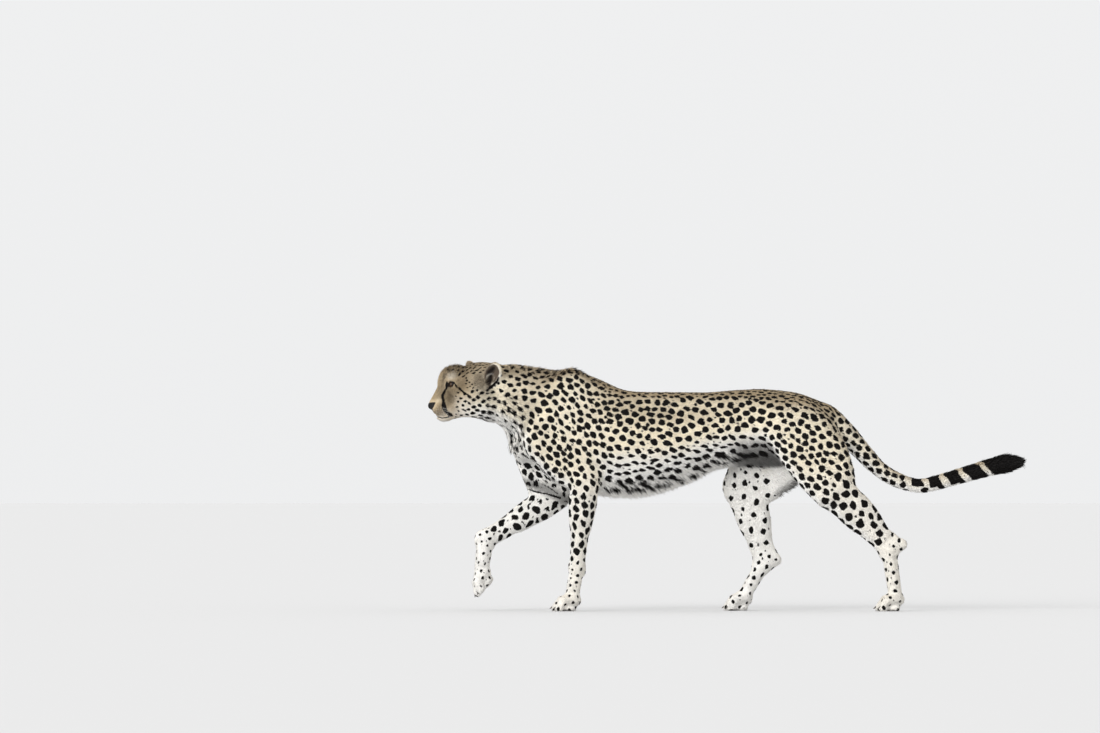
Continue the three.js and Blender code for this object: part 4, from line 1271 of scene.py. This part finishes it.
class Tufts:
    """Where the tufts stand, and what each is like."""

    def __init__(self, skin):
        extra, hang, standing = shaggy(skin)
        clear = clear_of_face(skin)
        room = skin.per_kind(HAIR_ROOM, 4) * (1 + extra / 26)
        room = np.where(clear < 0.02, NO_TUFTS, room * (0.45 + 0.55 * clear))
        length = skin.per_kind(HAIR_LENGTH, 10) * (0.3 + 0.7 * clear) + extra
        width = skin.per_kind(HAIR_WIDTH, 6) * (0.5 + 0.5 * clear) * (1 + extra / 55)
        face, weight = self.spread_over(skin, room)
        corners = skin.triangles()[face]

        def at(values):
            return np.einsum("nk,nk...->n...", weight, values[corners])

        count = len(face)
        self.root = at(skin.places)
        self.normal = unit(at(skin.normal))
        self.node = skin.node[corners[:, 0]]
        self.length = at(length) * np.clip(RANDOM.normal(1, 0.17, count), 0.5, 1.5) * MM
        self.width = at(width) * RANDOM.uniform(0.75, 1.25, count) * MM
        self.extra = at(extra)
        wild = 0.10 + 0.08 * np.clip(self.extra / 20, 0, 1)
        lie = unit(at(hang)) + RANDOM.normal(0, 1, (count, 3)) * wild[:, None]
        self.lie = unit(flattened(lie, self.normal))
        lift = RANDOM.normal(11, 4, count) + 9 * np.clip(self.extra / 20, 0, 1) + at(standing)
        self.lift = np.radians(lift)
        self.hang = unit(at(hang))
        self.colour = at(skin.tone) * self.varied(at(grizzled(skin)), count)
        self.ink = self.markings(skin, at(skin.ink), count)

    def spread_over(self, skin, room):
        """The faces that the tufts stand on, in turn by area, and where on each."""
        a, b, c = skin.corners()
        area = np.linalg.norm(np.cross(b - a, c - a), axis=1) / 2 / MM**2
        so_far = np.cumsum(area / room[skin.triangles()].mean(1))
        marks = np.arange(int(so_far[-1] - 0.5)) + 0.5
        marks = marks + RANDOM.uniform(-0.45, 0.45, len(marks))
        face = np.searchsorted(so_far, marks)
        first, second = RANDOM.random((2, len(face)))
        over = first + second > 1
        first, second = np.where(over, 1 - first, first), np.where(over, 1 - second, second)
        return face, np.stack([1 - first - second, first, second], 1)

    def varied(self, grizzle, count):
        """Hairs a little lighter and darker than each other, and dark ones strewn over the crown."""
        shade = np.clip(RANDOM.normal(1, 0.06, count), 0.8, 1.15)
        dark = RANDOM.random(count) < 0.06 + 0.3 * grizzle
        return (shade * (1 - (0.16 + 0.44 * grizzle) * dark))[:, None]

    def markings(self, skin, at_root, count):
        """Distance to the markings' edge at each tuft's root and tip. Short hair has the markings where it
        lies, and long hair carries the colour of its root."""
        reach = self.lie * self.length[:, None] * 0.55
        near = nearest(skin.tree, self.root + reach)
        slope = skin.ink_slope[near]
        there = skin.ink[near] + np.sum(slope * (self.root + reach - skin.places[near]), axis=1)
        change = np.sum(slope * reach, axis=1)
        carried = smoothstep(8, 18, self.extra)
        there = there + 0.85 * carried * (at_root - there)
        change = change * (1 - carried)
        astray = RANDOM.normal(0, 0.4, count) * (1 + self.extra / 9)
        return np.stack([there - change + astray, there + change * 0.8 + astray], 1)

    def only(self, chosen):
        some = object.__new__(Tufts)
        for name, values in vars(self).items():
            setattr(some, name, values[chosen])
        return some


def spikes(tufts):
    """Four corners for each short tuft: two at its root, one on its ridge, and its tip."""
    side = np.cross(tufts.lie, tufts.normal)
    lean = tufts.lie * np.cos(tufts.lift)[:, None] + tufts.normal * np.sin(tufts.lift)[:, None]
    length, width = tufts.length[:, None], tufts.width[:, None]
    low = tufts.root - tufts.normal * 0.4 * MM
    corners = [low - side * width / 2, low + side * width / 2]
    corners.append(tufts.root + lean * length * 0.3 + tufts.normal * width * 0.3)
    corners.append(tufts.root + lean * length)
    faces = np.array([[1, 3, 2], [0, 2, 3], [0, 3, 1], [0, 1, 2]])
    # painted shade: darker at the root, where the hairs around it would shadow it, a little lighter at the
    # tip
    shade = np.array([0.93, 0.93, 1.0, 1.05])
    share = np.array([0, 0, 0.3, 1.0])
    patch = np.array([[0, 0], [1, 0], [0.5, 0.6], [0.5, 1]])
    return np.stack(corners, 1), faces, shade, share, patch


def locks(tufts):
    """Seven corners for each long tuft: three round its root, three half way along, and its tip."""
    side = unit(np.cross(tufts.lie, tufts.normal))
    lean = tufts.lie * np.cos(tufts.lift)[:, None] + tufts.normal * np.sin(tufts.lift)[:, None]
    length, width = tufts.length[:, None], tufts.width[:, None]
    fall = unit(lean + 0.35 * tufts.hang)
    crown = unit(np.cross(side, lean))
    bend = tufts.root + lean * length * 0.5
    corners = []
    for at, thick in ((tufts.root - tufts.normal * 0.6 * MM, 1.0), (bend, 0.85)):
        corners.append(at - side * width * thick / 2)
        corners.append(at + side * width * thick / 2)
        corners.append(at + crown * width * thick * 0.45)
    corners.append(bend + fall * length * 0.5)
    faces = [[0, 1, 2], [0, 4, 1], [0, 3, 4], [1, 5, 2], [1, 4, 5], [2, 3, 0], [2, 5, 3]]
    faces += [[3, 6, 4], [4, 6, 5], [5, 6, 3]]
    # painted shade: darker at the root, where the hairs around it would shadow it, lighter towards the tip
    shade = np.array([0.9, 0.9, 0.93, 0.98, 0.98, 1.0, 1.06])
    patch = np.array([[0, 0], [1, 0], [0.5, 0.2], [0.1, 0.5], [0.9, 0.5], [0.5, 0.6], [0.5, 1]])
    share = np.array([0, 0, 0, 0.5, 0.5, 0.5, 1.0])
    return np.stack(corners, 1), np.array(faces), shade, share, patch


BAKE_PATCH = 0.003  # the side of each tuft's patch on that map


def unwrapped(tufts):
    """Each root's place on a map that has a strip for each node, unrolled about the node's long axis."""
    nodes = np.unique(tufts.node)
    place = np.empty((len(tufts.root), 2))
    for column, node in enumerate(nodes):
        mine = tufts.node == node
        low, high = (np.array(c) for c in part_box(FLESH[node]))
        axis = int(np.argmax(high - low))
        one, other = [i for i in range(3) if i != axis]
        away = tufts.root[mine] - (low + high) / 2
        turn = np.arctan2(away[:, one], away[:, other]) / (2 * np.pi) + 0.5
        along = np.clip(away[:, axis] / (high[axis] - low[axis]) + 0.5, 0, 1)
        place[mine] = np.stack([(column + 0.97 * turn) / len(nodes), 0.99 * along], 1)
    return place


def coat_piece(name, tufts, material):
    """One piece of coat from short tufts and long ones."""
    parts = []
    for some, build in (
        (tufts.only(tufts.length < LOCK_FROM * MM), spikes),
        (tufts.only(tufts.length >= LOCK_FROM * MM), locks),
    ):
        if len(some.root):
            corners, faces, shade, share, patch = build(some)
            count, sides = corners.shape[:2]
            triangles = (faces[None] + np.arange(count)[:, None, None] * sides).reshape(-1, 3)
            # each tuft's colour times the painted shade of its corners
            colour = some.colour[:, None] * shade[:, None]
            ink = some.ink[:, :1] + (some.ink[:, 1:] - some.ink[:, :1]) * share
            where = unwrapped(some)[:, None] + patch * BAKE_PATCH
            values = colour.reshape(-1, 3), ink.ravel(), where.reshape(-1, 2)
            parts.append((corners.reshape(-1, 3), triangles, *values))
    places, triangles = combined([part[:2] for part in parts])
    piece = new_object(name, places, triangles)
    colour_attribute(piece, "coat", np.concatenate([part[2] for part in parts]))
    number_attribute(piece, "ink", np.concatenate([part[3] for part in parts]))
    layer = piece.data.uv_layers.new(name="OFBake")
    corner_places = np.concatenate([part[4] for part in parts])[triangles.ravel()]
    layer.data.foreach_set("uv", corner_places.astype(np.float32).ravel())
    piece.data.materials.append(material)
    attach(piece, "root")
    return piece


def coat_material():
    """Hair: the markings' colour on each tuft, streaked lighter and darker."""
    nodes = Nodes("coat")
    streak = nodes.ramp(nodes.noise(650, 3), 0.3, 0.7, 0.92, 1.08)
    patches = nodes.ramp(nodes.noise(38, 3), 0.3, 0.7, 0.94, 1.05)
    shade = nodes.math("MULTIPLY", streak, patches)
    ground = nodes.mix(1.0, nodes.attribute("coat", "Color"), shade, "MULTIPLY")
    black = nodes.mix(nodes.noise(300, 3), rgba(INK * 0.6), rgba(INK * 1.8))
    inked = nodes.ramp(nodes.attribute("ink"), 0.5, -0.5)
    rough = nodes.ramp(nodes.noise(500, 2), 0.2, 0.8, 0.55, 0.8)
    scales = nodes.bump(nodes.noise(2200, 3, 0.7), 0.35, 0.0003)
    constants = {"Sheen Weight": 0.04, "Sheen Roughness": 0.4, "Specular IOR Level": 0.12}
    return nodes.surface(nodes.mix(inked, ground, black), rough, constants, scales)


# Which nodes each piece of coat covers; the trunk's is cut into a left and a right one.
COAT_PIECES = {
    "coat_head": ("head", "ear_left", "ear_right"),
    "coat_neck": ("neck",),
    "coat_foreleg_left": ("upper_arm_left", "forearm_left", "forepaw_left"),
    "coat_foreleg_right": ("upper_arm_right", "forearm_right", "forepaw_right"),
    "coat_hind_leg_left": ("thigh_left", "lower_leg_left", "hind_foot_left"),
    "coat_hind_leg_right": ("thigh_right", "lower_leg_right", "hind_foot_right"),
    "coat_tail": ("tail_base", "tail_middle", "tail_tip"),
}


def make_coat(skin):
    tufts = Tufts(skin)
    material = coat_material()
    names = np.array(FLESH)[tufts.node]
    for name, nodes in COAT_PIECES.items():
        coat_piece(name, tufts.only(np.isin(names, nodes)), material)
    for side, chosen in (("left", tufts.root[:, 0] >= 0), ("right", tufts.root[:, 0] < 0)):
        coat_piece(f"coat_trunk_{side}", tufts.only(chosen & (names == "trunk")), material)


def slope_of(skin, values):
    """The gradient over the skin of a value held at its vertices, per metre."""
    triangles = skin.triangles()
    a, b, c = skin.corners()
    cross = np.cross(b - a, c - a)
    double = np.maximum(np.linalg.norm(cross, axis=1, keepdims=True), 1e-14)
    up = cross / double
    total = np.zeros_like(skin.places)
    slope = np.zeros_like(a)
    for n, edge in enumerate((c - b, a - c, b - a)):
        slope += values[triangles[:, n], None] * np.cross(up, edge) / double
    weights = np.zeros(len(skin.places))
    for n in range(3):
        weights += np.bincount(triangles[:, n], double[:, 0], len(skin.places))
        for axis in range(3):
            part = slope[:, axis] * double[:, 0]
            total[:, axis] += np.bincount(triangles[:, n], part, len(skin.places))
    return total / np.maximum(weights, 1e-14)[:, None]


skin.ink_slope = slope_of(skin, skin.ink)
make_coat(skin)

# ---------------------------------------------------------------- eyes, claws and whiskers

GAZE = {"left": unit(np.array([0.58, 0.81, -0.02])), "right": unit(np.array([-0.58, 0.81, -0.02]))}
CORNEA = {"edge": math.radians(36), "rise": 0.07}  # how far from the gaze it reaches, and its height


def eye_material():
    """A dark amber iris under painted shade, with fibres, a round pupil and a wet surface."""
    nodes = Nodes("eye")
    parts = nodes.add("SeparateXYZ", {"Vector": nodes.attribute("look", "Vector")})
    across, up = parts.outputs["X"], parts.outputs["Y"]
    squares = nodes.math("ADD", nodes.math("MULTIPLY", across, across), nodes.math("MULTIPLY", up, up))
    radius = nodes.math("SQRT", squares)
    polar = nodes.add("CombineXYZ", {
        "X": nodes.math("DIVIDE", across, radius), "Y": nodes.math("DIVIDE", up, radius),
        "Z": nodes.math("MULTIPLY", radius, 0.6),
    })
    fibres = nodes.ramp(nodes.noise(9, 4, 0.7, polar.outputs["Vector"]), 0.3, 0.7)
    # the iris's colours are darkened with painted shade from the overhanging brow
    iris = nodes.mix(fibres, rgba(linear(38, 24, 12)), rgba(linear(78, 52, 25)))
    iris = nodes.mix(nodes.ramp(radius, 0.34, 0.60), iris, rgba(linear(40, 25, 12)))
    iris = nodes.mix(nodes.ramp(radius, 0.27, 0.24), iris, rgba(linear(6, 5, 5)))
    iris = nodes.mix(nodes.ramp(radius, 0.58, 0.64), iris, rgba(linear(20, 15, 12)))
    rough = nodes.ramp(fibres, 0.0, 1.0, 0.16, 0.26)
    constants = {"Coat Weight": 1.0, "Coat Roughness": 0.05, "Coat IOR": 1.2, "Specular IOR Level": 0.05}
    return nodes.surface(iris, rough, constants, nodes.bump(fibres, 0.1, 0.0002))


def tube_faces(rings, sides, turned=False):
    """The triangles of a closed tube, whose corners are numbered ring by ring, or the same turned over."""
    start = np.arange(rings - 1)[:, None] * sides + np.arange(sides)[None]
    after = np.arange(rings - 1)[:, None] * sides + (np.arange(sides)[None] + 1) % sides
    walls = np.stack([start, after, after + sides, start + sides], -1).reshape(-1, 4)
    last = (rings - 1) * sides
    caps = [[0, n + 1, n] for n in range(1, sides - 1)]
    caps += [[last, last + n, last + n + 1] for n in range(1, sides - 1)]
    caps = np.array(caps)
    if turned:
        walls, caps = walls[:, [0, 3, 2, 1]], caps[:, [0, 2, 1]]
    return np.concatenate([split_quads(walls), caps])


def make_eye(side, material):
    """An eyeball turned towards what the animal looks at, with the cornea standing a little proud."""
    rings, sides = 40, 48
    ahead = GAZE[side]
    right = unit(np.cross(ahead, UP))
    over = np.cross(right, ahead)
    angle = np.linspace(0.01, math.pi - 0.01, rings)[:, None]
    turn = np.linspace(0, 2 * math.pi, sides, endpoint=False)[None]
    look = np.stack([
        np.sin(angle) * np.cos(turn), np.sin(angle) * np.sin(turn), np.cos(angle) + 0 * turn,
    ], -1).reshape(-1, 3)
    bulge = CORNEA["rise"] * smoothstep(CORNEA["edge"], 0, np.arccos(np.clip(look[:, 2], -1, 1)))
    places = (look @ np.stack([right, over, ahead])) * (0.985 + bulge)[:, None] * EYE_RADIUS
    places = places @ HEAD_AXES + EYE_CENTRE[side]
    piece = new_object(f"eyeball_{side}", places, tube_faces(rings, sides, turned=True))
    attribute(piece, "look", "FLOAT_VECTOR", "vector", look)
    piece.data.materials.append(material)
    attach(piece, "root")
    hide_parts(f"eye_{side}")


def claw_material():
    nodes = Nodes("claw")
    streaks = nodes.ramp(nodes.noise(420, 4, 0.6), 0.3, 0.7)
    colour = nodes.mix(streaks, rgba(linear(38, 32, 28)), rgba(linear(92, 80, 68)))
    rough = nodes.ramp(streaks, 0, 1, 0.28, 0.5)
    grain = nodes.bump(nodes.noise(900, 3), 0.25, 0.0003)
    return nodes.surface(colour, rough, {"Specular IOR Level": 0.5}, grain)


def make_claws(end, side, material):
    """The claws of one foot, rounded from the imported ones."""
    names = sorted(n for n in NODES if n.startswith(f"claw_{end}_{side}"))
    block = new_object("claws", *combined([node_arrays(name) for name in names]))
    rounding = block.modifiers.new("rounding", "SUBSURF")
    rounding.levels = 2
    mesh = with_modifiers(block)
    discard(block)
    mesh.shade_smooth()
    piece = bpy.data.objects.new(f"claws_{end}_{side}", mesh)
    bpy.context.scene.collection.objects.link(piece)
    piece.data.materials.append(material)
    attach(piece, "root")
    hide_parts(*names)


def whisker(root, way, bend, length, radius):
    """A tapering hair with five sides along a curve."""
    steps, sides = 12, 5
    t = np.linspace(0, 1, steps)[:, None]
    spine = root + way * length * t + bend * length * t * t
    along = unit(np.gradient(spine, axis=0))
    first = unit(np.cross(along, (0.31, 0.2, 0.93)))
    second = np.cross(along, first)
    turn = np.linspace(0, 2 * math.pi, sides, endpoint=False)
    round_it = first[:, None] * np.cos(turn)[None, :, None] + second[:, None] * np.sin(turn)[None, :, None]
    places = spine[:, None] + round_it * (radius * (1 - 0.92 * t[:, :, None]))
    return places.reshape(-1, 3), tube_faces(steps, sides)


def whisker_roots():
    """Places beside the face, ahead and up, with the length of the whisker there."""
    roots = []
    for row in range(4):
        for column in range(5):
            ahead = 108 - 6.2 * column - 1.5 * row
            roots.append((ahead, -46 - 5.2 * row - 0.9 * column, 26 + 8.5 * column))
    roots += [(66, 41, 30), (62, 44, 38), (57, 46, 34)]
    return roots


def whisker_material():
    nodes = Nodes("whisker")
    shade = nodes.mix(nodes.noise(260, 3), rgba(linear(226, 220, 208)), rgba(linear(250, 248, 244)))
    return nodes.surface(shade, nodes.ramp(nodes.noise(800, 2), 0.2, 0.8, 0.3, 0.5), {})


def make_whiskers(skin):
    tree = BVHTree.FromPolygons(skin.places.tolist(), skin.triangles().tolist())
    parts = []
    for sign in (1, -1):
        for ahead, up, length in whisker_roots():
            start = from_head((70 * sign, ahead, up))
            inward = -sign * HEAD_SIDE
            place, normal, _, _ = tree.ray_cast(Vector(start), Vector(inward))
            if place is None:
                continue
            normal = np.array(normal)
            way = unit(normal * 0.9 + HEAD_SIDE * 0.5 * sign - HEAD_AHEAD * RANDOM.uniform(0.25, 0.55))
            bend = -HEAD_AHEAD * 0.28 - UP * RANDOM.uniform(0.12, 0.3)
            if up > 0:
                way, bend = unit(normal * 0.6 + UP * 0.9), -HEAD_AHEAD * 0.3
            size = length * RANDOM.uniform(0.85, 1.15) * MM
            parts.append(whisker(np.array(place) - normal * MM, way, bend, size, 0.17 * MM))
    piece = new_object("whiskers", *combined(parts))
    piece.data.materials.append(whisker_material())
    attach(piece, "root")


eye_glass = eye_material()
horn = claw_material()
for each_side in ("left", "right"):
    make_eye(each_side, eye_glass)
    for each_end in ("fore", "hind"):
        make_claws(each_end, each_side, horn)
make_whiskers(skin)

# ---------------------------------------------------------------- floor, light and camera

CAMERA_HEIGHT = 0.468
CAMERA_DISTANCE = 27.0
FRAME_WIDTH = 3.3  # of the picture, at the animal
FRAME_CENTRE = Vector((0, -0.522, 0.733))
SUN_FROM = Vector((0.85, -0.65, 0.38))


def make_floor():
    half = 60.0
    corners = np.array([[-half, -half, 0], [half, -half, 0], [half, half, 0], [-half, half, 0]])
    floor = new_object("floor", corners, np.array([[0, 1, 2, 3]]))
    material = bpy.data.materials.new("floor")
    material.use_nodes = True
    bsdf = material.node_tree.nodes["Principled BSDF"]
    bsdf.inputs["Base Color"].default_value = (0.7, 0.7, 0.7, 1)
    bsdf.inputs["Roughness"].default_value = 1.0
    bsdf.inputs["Specular IOR Level"].default_value = 0.0
    floor.data.materials.append(material)


def make_light():
    """A bright hazy sky with a broad soft sun high behind the camera."""
    world = bpy.data.worlds.new("studio")
    bpy.context.scene.world = world
    world.use_nodes = True
    tree = world.node_tree
    height = tree.nodes.new("ShaderNodeSeparateXYZ")
    tree.links.new(tree.nodes.new("ShaderNodeTexCoord").outputs["Generated"], height.inputs["Vector"])
    sky = tree.nodes.new("ShaderNodeValToRGB")
    sky.color_ramp.elements[0].position = 0.0
    sky.color_ramp.elements[0].color = (0.87, 0.875, 0.88, 1)
    sky.color_ramp.elements[1].position = 0.6
    sky.color_ramp.elements[1].color = (1.0, 1.0, 1.0, 1)
    tree.links.new(height.outputs["Z"], sky.inputs["Fac"])
    background = tree.nodes["Background"]
    tree.links.new(sky.outputs["Color"], background.inputs["Color"])
    background.inputs["Strength"].default_value = 0.98
    lamp = bpy.data.lights.new("sun", "SUN")
    lamp.energy = 2.1
    lamp.angle = math.radians(40)
    sun = bpy.data.objects.new("sun", lamp)
    sun.rotation_euler = (Vector((0, 0, 0)) - SUN_FROM).to_track_quat("-Z", "Y").to_euler()
    bpy.context.scene.collection.objects.link(sun)


def make_camera():
    data = bpy.data.cameras.new("camera")
    camera = bpy.data.objects.new("camera", data)
    bpy.context.scene.collection.objects.link(camera)
    camera.location = (CAMERA_DISTANCE, FRAME_CENTRE.y, CAMERA_HEIGHT)
    camera.rotation_euler = (FRAME_CENTRE - camera.location).to_track_quat("-Z", "Y").to_euler()
    data.sensor_width = 36
    data.lens = data.sensor_width * CAMERA_DISTANCE / FRAME_WIDTH
    data.clip_end = 200
    bpy.context.scene.camera = camera


bpy.context.scene.view_settings.view_transform = "Standard"
make_floor()
make_light()
make_camera()

# ---------------------------------------------------------------- the end
